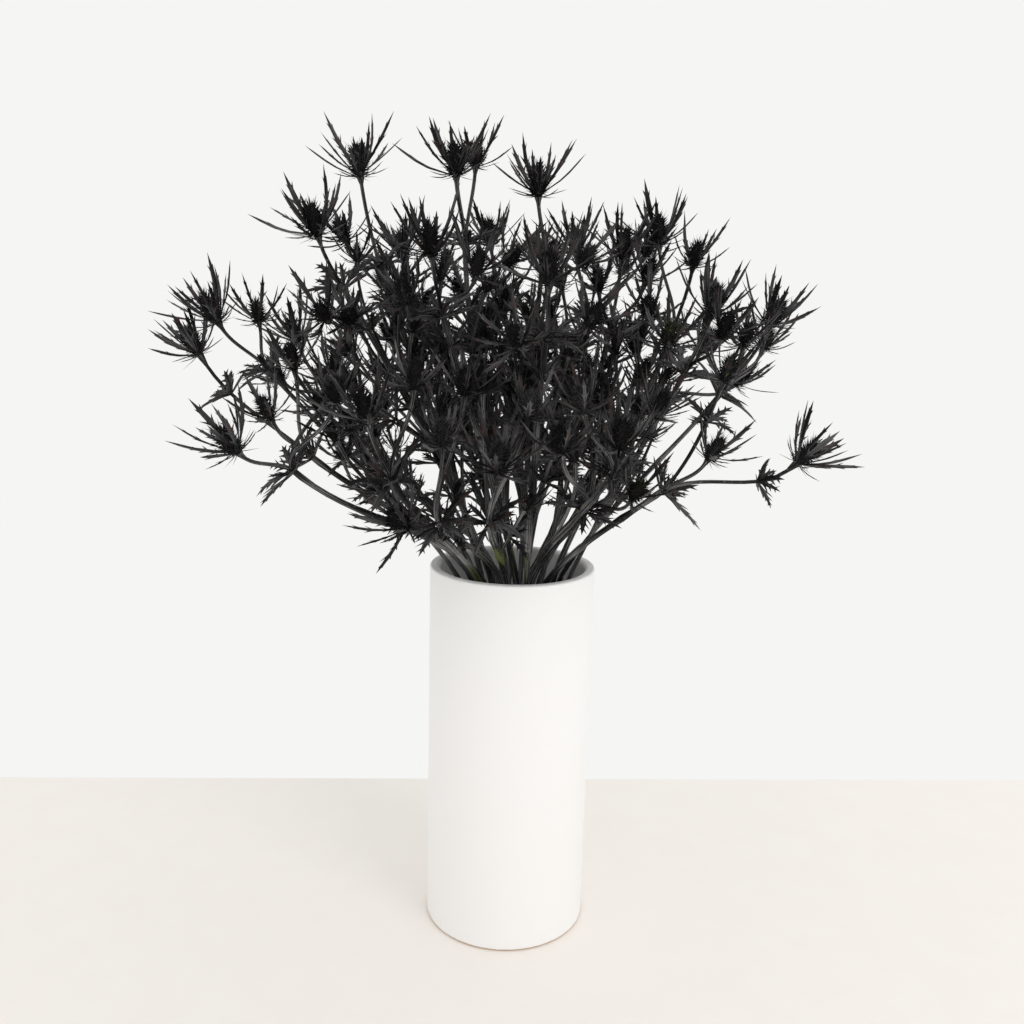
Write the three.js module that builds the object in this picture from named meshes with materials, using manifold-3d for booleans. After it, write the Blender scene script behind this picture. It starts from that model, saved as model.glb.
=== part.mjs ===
// A vase of dyed sea holly. A plain ceramic cylinder holds water and a loose bunch of sprays.
// Each spray is one plant stem: it stands on the vase's floor, leans out through the mouth,
// forks into branches above a whorl of spiny leaves, and ends in cone-shaped flower heads,
// each in a collar of narrow toothed bracts.
// Millimetres, +Z up, origin at the centre of the vase's foot, -Y towards the viewer.
import * as THREE from "three";
import Module from "manifold-3d";

const wasm = await Module();
wasm.setup();

// ---------- Driving dimensions ----------
const VASE_RADIUS = 55;
const VASE_HEIGHT = 252;
const VASE_WALL = 7;
const VASE_FLOOR = 8;
const VASE_SIDES = 36;
const FOOT_CHAMFER = 2;
const INNER_CHAMFER = 4;
const RIM_POINTS = 4;
const WATER_TOP = 150;
const GAP = 0.3; // left between pieces that touch

const BORE = VASE_RADIUS - VASE_WALL;
const STEM_RADIUS = 2.5; // to the corners of its section
const STEM_TIP_RADIUS = 2.1;
const STEM_SIDES = 4;
const NECK_STEPS = 2; // from the bend below the rim to the mouth
const STEM_STEPS = 3; // from the mouth to the fork
const HOLE_GAP = 0.5;
const MOUTH_SPREAD = 43; // radius of the bunch where it passes the vase's rim
const FOOT_SPREAD = 0.85; // the bunch is this much narrower on the floor
const BUNCH_TWIST = (110 * Math.PI) / 180; // the stems cross over as in a tied bunch
const GOLDEN_ANGLE = Math.PI * (3 - Math.sqrt(5));
const BEND_DEPTH = 70; // a stem is straight up to here below the rim, and then leans outwards
const NECK_REACH = 0.4; // how stiffly it keeps its direction there, as a share of the bend's length
const STIFFNESS = 0.25; // share of its direction in the water that a stem still has at the mouth
const STEM_REACH = 0.36; // how stiffly it keeps its direction above, as a share of its span
const FAN_SHARE = 0.75; // how far a fork goes on in its stem's direction, and not towards its heads

const FORK_RADIUS = 3.8;
const FORK_BAND = 3.5; // length of the swelling that carries the whorl of leaves
const FORK_CAP = 1.6; // the swelling's flat top, above the fork's centre
const WHORL_SWELL = 0.5; // a stem grows this much thicker at a whorl of leaves
const BRANCH_RADIUS = 1.8;
const BRANCH_SIDES = 3;
const SHORT_BRANCH_STEPS = 2;
const LONG_BRANCH_STEPS = 3;
const LONG_BRANCH = 72; // a branch this long carries a small whorl of its own
const BRANCH_REACH = 0.35;
const STEMWARD = 0.2; // a head's axis follows the stem this much, and its branch the rest
const SKYWARD = 0.4; // and then it turns up to the light this much

const TERMINAL_SCALE = 1.1; // the first head of a spray is its largest
const SIDE_SCALE = 0.92;
const TERMINAL_BRACTS = 7;
const SIDE_BRACTS = 5;
const COLLAR_RADIUS = 4.4;
const COLLAR_BASE = 1; // above the end of the branch
const COLLAR_HEIGHT = 2.4;
const COLLAR_FLARE = 0.8;
const CONE_RADIUS = 6.2;
const CONE_BELLY = 8;
const CONE_HEIGHT = 17;
const FLORET_RELIEF = 1.7;
const FLORET_HEART = 0.6; // florets point away from here, as a share of the belly's height

// Angles of blades are in degrees from the axis of their head or stem. A spread is the whole
// width of a random draw.
const BRACT_LENGTH = 30;
const BRACT_LENGTH_SPREAD = 0.3;
const BRACT_HALF_WIDTH = 2.1;
const BRACT_KEEL = 1;
const BRACT_KNEE = 0.45; // where a bract bends, as a share of its length
const UPRIGHT_TILT = 28;
const OPEN_TILT = 52;
const BRACT_TILT_SPREAD = 16;
const BOW_SPREAD = 22;
const BOW_INWARD = 0.25; // share of the bracts that bow inwards
const DRIFT_SPREAD = 0.3;
const LEAF_LENGTH = 32;
const LEAF_LENGTH_SPREAD = 0.4;
const LEAF_HALF_WIDTH = 4.4;
const LEAF_ROOT_HALF_WIDTH = 2.5;
const LEAF_NARROWING = 0.75;
const LEAF_KEEL = 1.1;
const LEAF_STRETCHES = [0.38, 0.3, 0.32]; // shares of its length between its bends
const LEAF_TILT = 66;
const LEAF_TILT_SPREAD = 24;
const DROOP = 0.2;
const DROOP_SPREAD = 0.35;
const SMALL_WHORL = 0.7; // scale of the leaves part-way up a long branch
const TIP_HALF_WIDTH = 0.3;
const NOTCH_WIDTH = 0.42; // width left between two pairs of teeth
const NOTCH_STEP = 1.3;

// Each kind of random draw starts at a number of its own.
const DRAW = { tilt: 0, bow: 20, length: 40, drift: 60, leafTilt: 80, leafLength: 90, droop: 95 };

// Each spray's name, where it forks, and where the collars of its heads sit. The order is that
// of the places in the vase's mouth, from the middle of the bunch to its edge.
const SPRAYS = [
  ["top_right", [15, 0, 455], [[10, -10, 485], [35, -40, 445]]],
  ["top_pair", [-35, 5, 460], [[-40, -15, 495], [-30, 20, 505], [-10, -25, 445]]],
  ["top_left", [-45, -50, 415], [[-50, -70, 445], [-25, -95, 435], [-60, -90, 420]]],
  ["back_top", [-10, 70, 420], [[-20, 75, 460], [10, 110, 455], [-35, 40, 425]]],
  ["upper_left", [-105, -45, 430], [[-115, -60, 455], [-105, -95, 410], [-95, -80, 410]]],
  ["right_small", [45, -45, 300], [[25, -100, 340], [65, -95, 315], [50, -50, 360]]],
  ["back_top_left", [-70, 60, 415], [[-80, 65, 450], [-55, 95, 445], [-95, 90, 430]]],
  ["low_left", [-45, -75, 295], [[-60, -95, 295], [-40, -115, 345], [-30, -95, 370]]],
  ["right_top", [60, 20, 405], [[65, 10, 450], [75, -30, 435], [50, -5, 430]]],
  ["tall_left", [-90, 10, 445], [[-100, 0, 495], [-105, -20, 455], [-75, -15, 430]]],
  ["right_front", [55, -90, 330], [[55, -110, 345], [35, -120, 365], [75, -95, 360]]],
  ["back_top_right", [50, 75, 415], [[40, 70, 455], [75, 110, 445], [85, 60, 455]]],
  ["left_low", [-130, -75, 325], [[-155, -90, 335], [-100, -105, 365], [-110, -50, 375]]],
  ["right_crown", [100, 5, 410], [[90, 20, 460], [105, -20, 445], [75, -60, 415]]],
  ["back_low_left", [-105, 80, 315], [[-140, 110, 335], [-105, 110, 365], [-85, 50, 390]]],
  ["front_centre", [-15, -85, 300], [[-10, -110, 330], [5, -115, 360], [-20, -80, 370]]],
  ["back_right", [100, 65, 360], [[130, 75, 390], [150, 50, 370], [85, 70, 395]]],
  ["left_long", [-130, -20, 325], [[-195, -25, 385], [-145, -55, 350], [-130, -60, 380]]],
  ["low_right", [90, -55, 315], [[170, -45, 330], [110, -75, 335], [115, -80, 380]]],
  ["back_centre", [-20, 95, 355], [[-30, 120, 395], [10, 130, 390], [-60, 110, 390]]],
  ["left_front", [-70, -95, 325], [[-80, -110, 355], [-55, -120, 375], [-45, -75, 355]]],
  ["far_right", [130, -10, 370], [[155, -15, 410], [130, -60, 400], [165, 35, 395]]],
  ["back_left", [-130, 55, 355], [[-155, 70, 390], [-125, 90, 400], [-160, 45, 365]]],
  ["front_high", [15, -85, 405], [[15, -95, 430], [0, -120, 400], [35, -110, 410]]],
  ["back_low_right", [65, 90, 320], [[105, 120, 340], [55, 120, 370], [35, 50, 375]]],
  ["left_pair", [-155, -25, 380], [[-180, -35, 405], [-165, 0, 405]]],
  ["right_mid", [100, -45, 385], [[110, -55, 415], [110, -90, 405], [80, -105, 400]]],
];

// ---------- Small helpers ----------
const vec = (x, y, z) => new THREE.Vector3(x, y, z);
const UP = vec(0, 0, 1);
const DOWN = vec(0, 0, -1);
const radians = THREE.MathUtils.degToRad;
const along = (from, direction, distance) => from.clone().addScaledVector(direction, distance);
const towards = (from, to) => to.clone().sub(from).normalize();

function blend(a, aShare, b, bShare) {
  return a.clone().multiplyScalar(aShare).addScaledVector(b, bShare).normalize();
}

// The same number between 0 and 1 each time for the same place in the bunch.
function chance(a, b) {
  const wave = Math.sin(a * 12.9898 + b * 78.233) * 43758.5453;
  return wave - Math.floor(wave);
}

// A random share from -half to +half of the spread.
const drawn = (spread, seed, number) => spread * (chance(seed, number) - 0.5);

// x and y are square to the axis z, and x stays as near as it can to the hint.
function frameOn(z, hint) {
  const x = along(hint, z, -hint.dot(z)).normalize();
  return { x, y: z.clone().cross(x), z };
}

function around(frame, angle) {
  return frame.x.clone().multiplyScalar(Math.cos(angle)).addScaledVector(frame.y, Math.sin(angle));
}

// ---------- A closed skin, grown ring by ring ----------
class Skin {
  constructor() {
    this.points = [];
    this.faces = [];
  }

  point(position) {
    this.points.push(position);
    return this.points.length - 1;
  }

  ring(centre, frame, radius, sides, turn = 0) {
    const ids = [];
    for (let k = 0; k < sides; k++) {
      const angle = (2 * Math.PI * (k + turn)) / sides;
      ids.push(this.point(along(centre, around(frame, angle), radius)));
    }
    return { ids, turn };
  }

  // Joins two rings with any numbers of corners, in the order of their corners' angles.
  // It returns the triangles that stand on the lower ring.
  stitch(low, up) {
    const n = low.ids.length;
    const m = up.ids.length;
    const standing = [];
    let i = 0;
    let j = 0;
    while (i < n || j < m) {
      const a = low.ids[i % n];
      const b = up.ids[j % m];
      const lowNext = (i + 1 + low.turn) / n;
      const upNext = (j + 1 + up.turn) / m;
      if (j >= m || (i < n && lowNext <= upNext)) {
        standing.push([a, low.ids[(i + 1) % n], b]);
        i += 1;
      } else {
        this.faces.push([a, up.ids[(j + 1) % m], b]);
        j += 1;
      }
    }
    return standing;
  }

  join(low, up) {
    this.faces.push(...this.stitch(low, up));
  }

  quad(a, b, c, d) {
    this.faces.push([a, b, c], [a, c, d]);
  }

  cap({ ids }, isTop) {
    for (let k = 1; k + 1 < ids.length; k++) {
      this.faces.push(isTop ? [ids[0], ids[k], ids[k + 1]] : [ids[0], ids[k + 1], ids[k]]);
    }
  }

  // A low pyramid on a triangle: one floret.
  floret([a, b, c], heart, height) {
    const [p, q, r] = [a, b, c].map((id) => this.points[id]);
    const middle = p.clone().add(q).add(r).divideScalar(3);
    const tip = this.point(along(middle, towards(heart, middle), height));
    this.faces.push([a, b, tip], [b, c, tip], [c, a, tip]);
  }

  // A keeled blade in place of the four-cornered patch a, b, c, d. It is three-cornered in
  // section, with a pair of teeth at each knee of its path and a notch after each pair.
  blade([a, b, c, d], blade) {
    const { path, side, half, keel } = blade;
    const section = (k) => {
      const forward = towards(path[k - 1], path[k + 1]);
      const up = forward.clone().cross(side).normalize();
      const across = up.clone().cross(forward);
      return {
        keel: this.point(along(path[k], up, -keel)),
        right: this.point(along(path[k], across, half[k])),
        left: this.point(along(path[k], across, -half[k])),
        notch: (sign) => {
          const ahead = along(path[k], towards(path[k], path[k + 1]), NOTCH_STEP);
          return this.point(along(ahead, across, sign * half[k] * NOTCH_WIDTH));
        },
      };
    };
    let { keel: K, right: R, left: L, notch } = section(1);
    this.faces.push([a, b, K], [b, c, R], [b, R, K], [c, d, L], [c, L, R], [d, a, K], [d, K, L]);
    for (let k = 2; k < path.length - 1; k++) {
      const rightNotch = notch(1);
      const leftNotch = notch(-1);
      const next = section(k);
      const { keel: K2, right: R2, left: L2 } = next;
      this.faces.push([K, R, rightNotch], [K, rightNotch, R2], [K, R2, K2]);
      this.faces.push([R, L, leftNotch], [R, leftNotch, rightNotch]);
      this.faces.push([rightNotch, leftNotch, L2], [rightNotch, L2, R2]);
      this.faces.push([L, K, K2], [L, K2, leftNotch], [leftNotch, K2, L2]);
      [K, R, L, notch] = [K2, R2, L2, next.notch];
    }
    const tip = this.point(path[path.length - 1]);
    if (path.length > 3) {
      this.faces.push([K, R, tip], [R, L, tip], [L, K, tip]);
      return;
    }
    const rightNotch = notch(1);
    const leftNotch = notch(-1);
    this.faces.push([K, R, rightNotch], [K, rightNotch, tip]);
    this.faces.push([R, L, leftNotch], [R, leftNotch, rightNotch], [rightNotch, leftNotch, tip]);
    this.faces.push([L, K, leftNotch], [K, tip, leftNotch]);
  }

  solid() {
    const mesh = new wasm.Mesh({
      numProp: 3,
      vertProperties: new Float32Array(this.points.flatMap((p) => [p.x, p.y, p.z])),
      triVerts: new Uint32Array(this.faces.flat()),
    });
    return new wasm.Manifold(mesh);
  }
}

function geometryOf(solid) {
  const mesh = solid.getMesh();
  const geometry = new THREE.BufferGeometry();
  geometry.setAttribute("position", new THREE.BufferAttribute(mesh.vertProperties, 3));
  geometry.setIndex(new THREE.BufferAttribute(mesh.triVerts, 1));
  return geometry;
}

// ---------- The room that the pieces take up, so that nothing crosses another spray ----------
// A rod tapers from a to b. Its tuft is the head or whorl that it belongs to, 0 for a bare stem.
const rods = [];

function rodsThrough(points, radii, spray, tuft) {
  const pieces = [];
  for (let k = 0; k + 1 < points.length; k++) {
    pieces.push({ a: points[k], b: points[k + 1], ra: radii[k], rb: radii[k + 1], spray, tuft });
  }
  return pieces;
}

function claim(points, radii, spray, tuft = 0) {
  rods.push(...rodsThrough(points, radii, spray, tuft));
}

// The gap between two tapering rods, from the nearest points of their middle lines.
function rodGap(p, q) {
  const u = q.b.clone().sub(q.a);
  const v = p.b.clone().sub(p.a);
  const w = p.a.clone().sub(q.a);
  const vv = v.dot(v);
  const uu = u.dot(u);
  const uv = u.dot(v);
  const uw = u.dot(w);
  const vw = v.dot(w);
  const det = vv * uu - uv * uv;
  let s = det > 1e-9 ? THREE.MathUtils.clamp((uv * uw - vw * uu) / det, 0, 1) : 0;
  let t = THREE.MathUtils.clamp((uv * s + uw) / uu, 0, 1);
  s = THREE.MathUtils.clamp((uv * t - vw) / vv, 0, 1);
  t = THREE.MathUtils.clamp((uv * s + uw) / uu, 0, 1);
  const distance = along(p.a, v, s).distanceTo(along(q.a, u, t));
  return distance - THREE.MathUtils.lerp(p.ra, p.rb, s) - THREE.MathUtils.lerp(q.ra, q.rb, t);
}

// A blade keeps clear of every other spray, and of the other tufts of its own.
function isClear(rod) {
  const isOther = ({ spray, tuft }) => spray !== rod.spray || (tuft !== 0 && tuft !== rod.tuft);
  return !rods.some((other) => isOther(other) && rodGap(rod, other) < GAP);
}

// A blade that would cross another spray is bent aside, then made shorter, then left out.
const NEAR_BENDS = [[0, 0], [1, 0], [-1, 0], [0, 1], [0, -1], [1, 1], [1, -1], [-1, 1], [-1, -1]];
const BENDS = [...NEAR_BENDS, [2, 0], [-2, 0]];
const SHRINKS = [1, 0.85, 0.7];
const TILT_STEP = radians(11);
const SWING_STEP = radians(14);

function fitBlade(shape, spray, tuft) {
  for (const shrink of SHRINKS) {
    for (const [tilt, swing] of BENDS) {
      const blade = shape(shrink, tilt * TILT_STEP, swing * SWING_STEP);
      const pieces = rodsThrough(blade.path, blade.half, spray, tuft);
      if (pieces.every(isClear)) {
        rods.push(...pieces);
        return blade;
      }
    }
  }
  return null;
}

// ---------- Vase and water ----------
function turned(profile) {
  const lathe = new THREE.LatheGeometry(profile, VASE_SIDES).rotateX(Math.PI / 2);
  const skin = new Skin();
  const seen = new Map();
  const position = lathe.getAttribute("position");
  const idOf = (k) => {
    const point = new THREE.Vector3().fromBufferAttribute(position, k);
    const key = point.toArray().map((value) => Math.round(value * 1e4)).join();
    if (!seen.has(key)) {
      seen.set(key, skin.point(point));
    }
    return seen.get(key);
  };
  const index = lathe.getIndex();
  for (let k = 0; k < index.count; k += 3) {
    const [a, b, c] = [0, 1, 2].map((step) => idOf(index.getX(k + step)));
    if (a !== b && b !== c && c !== a) {
      skin.faces.push([a, b, c]);
    }
  }
  return skin.solid();
}

function vaseSolid() {
  const profile = [];
  profile.push(new THREE.Vector2(0, 0));
  profile.push(new THREE.Vector2(VASE_RADIUS - FOOT_CHAMFER, 0));
  profile.push(new THREE.Vector2(VASE_RADIUS, FOOT_CHAMFER));
  const lip = VASE_WALL / 2;
  for (let k = 0; k <= RIM_POINTS; k++) {
    const angle = (Math.PI * k) / RIM_POINTS;
    const out = Math.cos(angle) * lip;
    const rise = Math.sin(angle) * lip;
    profile.push(new THREE.Vector2(VASE_RADIUS - lip + out, VASE_HEIGHT - lip + rise));
  }
  profile.push(new THREE.Vector2(BORE, VASE_FLOOR + INNER_CHAMFER));
  profile.push(new THREE.Vector2(BORE - INNER_CHAMFER, VASE_FLOOR));
  profile.push(new THREE.Vector2(0, VASE_FLOOR));
  return turned(profile);
}

// The water fills the bore up to its surface, with a plain hole for each stem.
function waterSolid(sprays) {
  const radius = BORE - GAP;
  const bottom = VASE_FLOOR + GAP;
  const profile = [
    new THREE.Vector2(0, bottom),
    new THREE.Vector2(radius - INNER_CHAMFER, bottom),
    new THREE.Vector2(radius, bottom + INNER_CHAMFER),
    new THREE.Vector2(radius, WATER_TOP),
    new THREE.Vector2(0, WATER_TOP),
  ];
  const holeRadius = STEM_RADIUS + HOLE_GAP;
  const holes = sprays.map((spray) => {
    const skin = new Skin();
    const frame = spray.standing;
    const low = skin.ring(along(spray.foot, frame.z, -VASE_FLOOR), frame, holeRadius, STEM_SIDES);
    const high = skin.ring(spray.mouth, frame, holeRadius, STEM_SIDES);
    skin.cap(low, false);
    skin.join(low, high);
    skin.cap(high, true);
    return skin.solid();
  });
  return turned(profile).subtract(wasm.Manifold.union(holes));
}

// ---------- Sprays ----------
// The stems share the mouth like the seeds of a sunflower, and the whole bunch is twisted, so
// no two straight stems meet between the floor and the rim.
function mouthPlace(k) {
  const radius = MOUTH_SPREAD * Math.sqrt((k + 0.5) / SPRAYS.length);
  return vec(radius * Math.cos(k * GOLDEN_ANGLE), radius * Math.sin(k * GOLDEN_ANGLE), VASE_HEIGHT);
}

function footPlace(mouth) {
  const foot = mouth.clone().multiplyScalar(FOOT_SPREAD).applyAxisAngle(UP, BUNCH_TWIST);
  return foot.setZ(VASE_FLOOR + GAP);
}

// A curve that leaves its start and meets its end in the given directions.
function curveBetween(start, startWay, end, endWay, stiffness) {
  const reach = stiffness * start.distanceTo(end);
  return new THREE.CubicBezierCurve3(start, along(start, startWay, reach), along(end, endWay, -reach), end);
}

function framesAlong(curve, steps, hint) {
  const frames = [];
  let lean = hint;
  for (let k = 0; k <= steps; k++) {
    const frame = frameOn(curve.getTangent(k / steps), lean);
    frames.push(frame);
    lean = frame.x;
  }
  return frames;
}

function planSpray([name, forkPlace, headPlaces], number) {
  const fork = vec(...forkPlace);
  const places = headPlaces.map((place) => vec(...place));
  const mouth = mouthPlace(number);
  const foot = footPlace(mouth);
  const way = towards(mouth, fork);
  const mean = vec(0, 0, 0);
  places.forEach((place) => mean.add(towards(fork, place)));
  const lean = blend(way, FAN_SHARE, mean.normalize(), 1 - FAN_SHARE);
  const standing = frameOn(towards(foot, mouth), vec(1, 0, 0));
  const bend = along(mouth, standing.z, -BEND_DEPTH / standing.z.z);
  const leaving = blend(standing.z, STIFFNESS, way, 1 - STIFFNESS);
  const neck = curveBetween(bend, standing.z, mouth, leaving, NECK_REACH);
  const stem = curveBetween(mouth, leaving, fork, lean, STEM_REACH);
  const neckFrames = framesAlong(neck, NECK_STEPS, standing.x);
  const frames = framesAlong(stem, STEM_STEPS, neckFrames[NECK_STEPS].x);
  const hint = frames[STEM_STEPS].x;
  const heads = places.map((place, k) => planHead(fork, place, lean, hint, k, number));
  return { name, number, mouth, foot, fork, lean, standing, neck, neckFrames, stem, frames, heads };
}

function planHead(fork, place, lean, hint, k, number) {
  const way = towards(fork, place);
  const axis = blend(blend(way, 1 - STEMWARD, lean, STEMWARD), 1 - SKYWARD, UP, SKYWARD);
  const curve = curveBetween(fork, blend(lean, 1, way, 1), place, axis, BRANCH_REACH);
  const isLong = fork.distanceTo(place) > LONG_BRANCH;
  const steps = isLong ? LONG_BRANCH_STEPS : SHORT_BRANCH_STEPS;
  const frames = framesAlong(curve, steps, hint);
  return {
    place,
    curve,
    steps,
    frames,
    frame: frames[steps],
    scale: k === 0 ? TERMINAL_SCALE : SIDE_SCALE,
    bractCount: k === 0 ? TERMINAL_BRACTS : SIDE_BRACTS,
    whorl: isLong ? curve.getPoint((steps - 1) / steps) : null,
    seed: number * 10 + k + 1, // a number of its own for every head
    bracts: [],
    leaves: [],
  };
}

function claimRods({ name, foot, neck, stem, lean, fork, heads }) {
  const stemPoints = [foot, ...neck.getPoints(NECK_STEPS), ...stem.getPoints(STEM_STEPS).slice(1)];
  claim(stemPoints, stemPoints.map(() => STEM_RADIUS), name);
  const swelling = [-2, 1].map((shift) => along(fork, lean, shift * FORK_BAND));
  claim(swelling, [FORK_RADIUS, FORK_RADIUS], name);
  const coneRadii = [COLLAR_RADIUS, COLLAR_RADIUS, CONE_RADIUS, 0];
  for (const head of heads) {
    const points = head.curve.getPoints(head.steps);
    claim(points, points.map(() => BRANCH_RADIUS), name);
    const heights = [0, COLLAR_HEIGHT, CONE_BELLY, CONE_HEIGHT];
    const levels = heights.map((height) => along(head.place, head.frame.z, height * head.scale));
    claim(levels, coneRadii.map((radius) => (radius + FLORET_RELIEF / 2) * head.scale), name, head.seed);
  }
}

// A bract leaves the collar well out from the axis and then bows in, or the other way round.
// Every second one stands more upright, as in a collar of two rows.
function bractShape({ place, frame, scale, seed, bractCount }, k) {
  const angle = (2 * Math.PI * (k + 0.5)) / bractCount;
  const middle = along(place, frame.z, (COLLAR_BASE + COLLAR_HEIGHT / 2) * scale);
  const root = along(middle, around(frame, angle), COLLAR_RADIUS * scale);
  const rowTilt = k % 2 === 0 ? UPRIGHT_TILT : OPEN_TILT;
  const ownTilt = radians(rowTilt + drawn(BRACT_TILT_SPREAD, seed, k + DRAW.tilt));
  const bow = radians(BOW_SPREAD * (chance(seed, k + DRAW.bow) - BOW_INWARD));
  const ownLength = BRACT_LENGTH * scale * (1 + drawn(BRACT_LENGTH_SPREAD, seed, k + DRAW.length));
  const drift = drawn(DRIFT_SPREAD, seed, k + DRAW.drift);
  const widths = [BRACT_HALF_WIDTH, BRACT_HALF_WIDTH, TIP_HALF_WIDTH];
  const half = widths.map((width) => width * scale);
  return (shrink, tilt, swing) => {
    const out = around(frame, angle + drift + swing);
    const side = around(frame, angle + swing + Math.PI / 2);
    const steer = (turn) => {
      const lean = ownTilt + tilt + turn;
      return blend(frame.z, Math.cos(lean), out, Math.sin(lean));
    };
    const knee = along(root, steer(bow), ownLength * shrink * BRACT_KNEE);
    const tip = along(knee, steer(-bow), ownLength * shrink * (1 - BRACT_KNEE));
    return { path: [root, knee, tip], side, half, keel: BRACT_KEEL };
  };
}

function planBracts(spray, head) {
  for (let k = 0; k < head.bractCount; k++) {
    head.bracts.push(fitBlade(bractShape(head, k), spray.name, head.seed));
  }
}

// Leaves spread from the swelling below the fork, and their ends hang a little.
function leafShape({ centre, frame, radius, sides, scale }, seed, k) {
  const angle = (2 * Math.PI * (k + 0.5)) / sides;
  const root = along(centre, around(frame, angle), radius);
  const ownTilt = radians(LEAF_TILT + drawn(LEAF_TILT_SPREAD, seed, k + DRAW.leafTilt));
  const ownLength = LEAF_LENGTH * scale * (1 + drawn(LEAF_LENGTH_SPREAD, seed, k + DRAW.leafLength));
  const droop = DROOP + DROOP_SPREAD * chance(seed, k + DRAW.droop);
  const widest = LEAF_HALF_WIDTH * scale;
  const half = [LEAF_ROOT_HALF_WIDTH, widest, widest * LEAF_NARROWING, TIP_HALF_WIDTH];
  return (shrink, tilt, swing) => {
    const out = around(frame, angle + swing);
    const side = around(frame, angle + swing + Math.PI / 2);
    const way = blend(frame.z, Math.cos(ownTilt + tilt), out, Math.sin(ownTilt + tilt));
    const path = [root];
    LEAF_STRETCHES.forEach((share, bend) => {
      const hanging = blend(way, 1, DOWN, bend * droop);
      path.push(along(path[bend], hanging, ownLength * shrink * share));
    });
    return { path, side, half, keel: LEAF_KEEL };
  };
}

function planLeaves(whorl, spray, seed) {
  const leaves = [];
  for (let k = 0; k < whorl.sides; k++) {
    leaves.push(fitBlade(leafShape(whorl, seed, k), spray.name, -1 - seed));
  }
  return leaves;
}

function growBand(skin, low, up, blades) {
  const n = low.ids.length;
  for (let k = 0; k < n; k++) {
    const next = (k + 1) % n;
    const patch = [low.ids[k], low.ids[next], up.ids[next], up.ids[k]];
    if (blades[k]) {
      skin.blade(patch, blades[k]);
    } else {
      skin.quad(...patch);
    }
  }
}

function stemSolid({ neck, neckFrames, stem, frames, foot, standing, fork, lean, leaves }) {
  const skin = new Skin();
  const footRing = skin.ring(foot, standing, STEM_RADIUS, STEM_SIDES);
  // The foot is cut level, so that it stands on the floor.
  for (const id of footRing.ids) {
    const corner = skin.points[id];
    corner.addScaledVector(standing.z, (foot.z - corner.z) / standing.z.z);
  }
  skin.cap(footRing, false);
  let last = footRing;
  for (let k = 0; k < NECK_STEPS; k++) {
    const ring = skin.ring(neck.getPoint(k / NECK_STEPS), neckFrames[k], STEM_RADIUS, STEM_SIDES);
    skin.join(last, ring);
    last = ring;
  }
  for (let k = 0; k < STEM_STEPS; k++) {
    const radius = THREE.MathUtils.lerp(STEM_RADIUS, STEM_TIP_RADIUS, k / STEM_STEPS);
    const ring = skin.ring(stem.getPoint(k / STEM_STEPS), frames[k], radius, STEM_SIDES);
    skin.join(last, ring);
    last = ring;
  }
  const top = frames[STEM_STEPS];
  const below = along(fork, lean, -FORK_BAND);
  const low = skin.ring(below, top, STEM_TIP_RADIUS + WHORL_SWELL, STEM_SIDES);
  skin.join(last, low);
  const high = skin.ring(along(fork, lean, FORK_CAP), top, FORK_RADIUS, STEM_SIDES);
  growBand(skin, low, high, leaves);
  skin.cap(high, true);
  return skin.solid();
}

function branchSolid(head) {
  const skin = new Skin();
  const { place, curve, steps, frames, frame, scale, bractCount } = head;
  let last = skin.ring(curve.getPoint(0), frames[0], BRANCH_RADIUS, BRANCH_SIDES);
  skin.cap(last, false);
  for (let k = 1; k <= steps; k++) {
    const ring = skin.ring(curve.getPoint(k / steps), frames[k], BRANCH_RADIUS, BRANCH_SIDES);
    skin.join(last, ring);
    last = ring;
    if (head.whorl && k === steps - 1) {
      const above = along(head.whorl, frames[k].z, FORK_BAND);
      last = skin.ring(above, frames[k], BRANCH_RADIUS + WHORL_SWELL, BRANCH_SIDES);
      growBand(skin, ring, last, head.leaves);
    }
  }
  const level = (height) => along(place, frame.z, height * scale);
  const ringAt = (height, radius, turn) => {
    return skin.ring(level(height), frame, radius * scale, bractCount, turn);
  };
  const low = ringAt(COLLAR_BASE, COLLAR_RADIUS);
  const high = ringAt(COLLAR_BASE + COLLAR_HEIGHT, COLLAR_RADIUS + COLLAR_FLARE);
  skin.join(last, low);
  growBand(skin, low, high, head.bracts);
  growFlorets(skin, head, high, ringAt(CONE_BELLY, CONE_RADIUS, 0.5), level);
  return skin.solid();
}

// The cone has a row of florets up to its belly and another from there to its tip.
function growFlorets(skin, { scale, bractCount }, high, belly, level) {
  const heart = level(CONE_BELLY * FLORET_HEART);
  const relief = FLORET_RELIEF * scale;
  const tip = skin.point(level(CONE_HEIGHT));
  const lowerRow = skin.stitch(high, belly);
  const upperRow = belly.ids.map((id, k) => [id, belly.ids[(k + 1) % bractCount], tip]);
  [...lowerRow, ...upperRow].forEach((face) => skin.floret(face, heart, relief));
}

function spraySolid(spray) {
  return wasm.Manifold.union([stemSolid(spray), ...spray.heads.map(branchSolid)]);
}

// ---------- Assembly ----------
const glaze = new THREE.MeshStandardMaterial({ color: 0xf1f0ee, roughness: 0.55, metalness: 0 });
const water = new THREE.MeshStandardMaterial({ color: 0xdfe9ec, roughness: 0.05, metalness: 0 });
const dyedPlant = new THREE.MeshStandardMaterial({ color: 0x26262a, roughness: 0.8, metalness: 0 });

function addMesh(group, name, solid, material) {
  const mesh = new THREE.Mesh(geometryOf(solid), material.clone());
  mesh.name = name;
  group.add(mesh);
}

// Leaves keep clear of the vase's rim, as well as of the other sprays.
function claimRim() {
  const lip = VASE_WALL / 2;
  const points = [];
  for (let k = 0; k <= VASE_SIDES; k++) {
    const angle = (2 * Math.PI * k) / VASE_SIDES;
    const out = VASE_RADIUS - lip;
    points.push(vec(out * Math.cos(angle), out * Math.sin(angle), VASE_HEIGHT - lip));
  }
  claim(points, points.map(() => lip), "vase");
}

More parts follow.
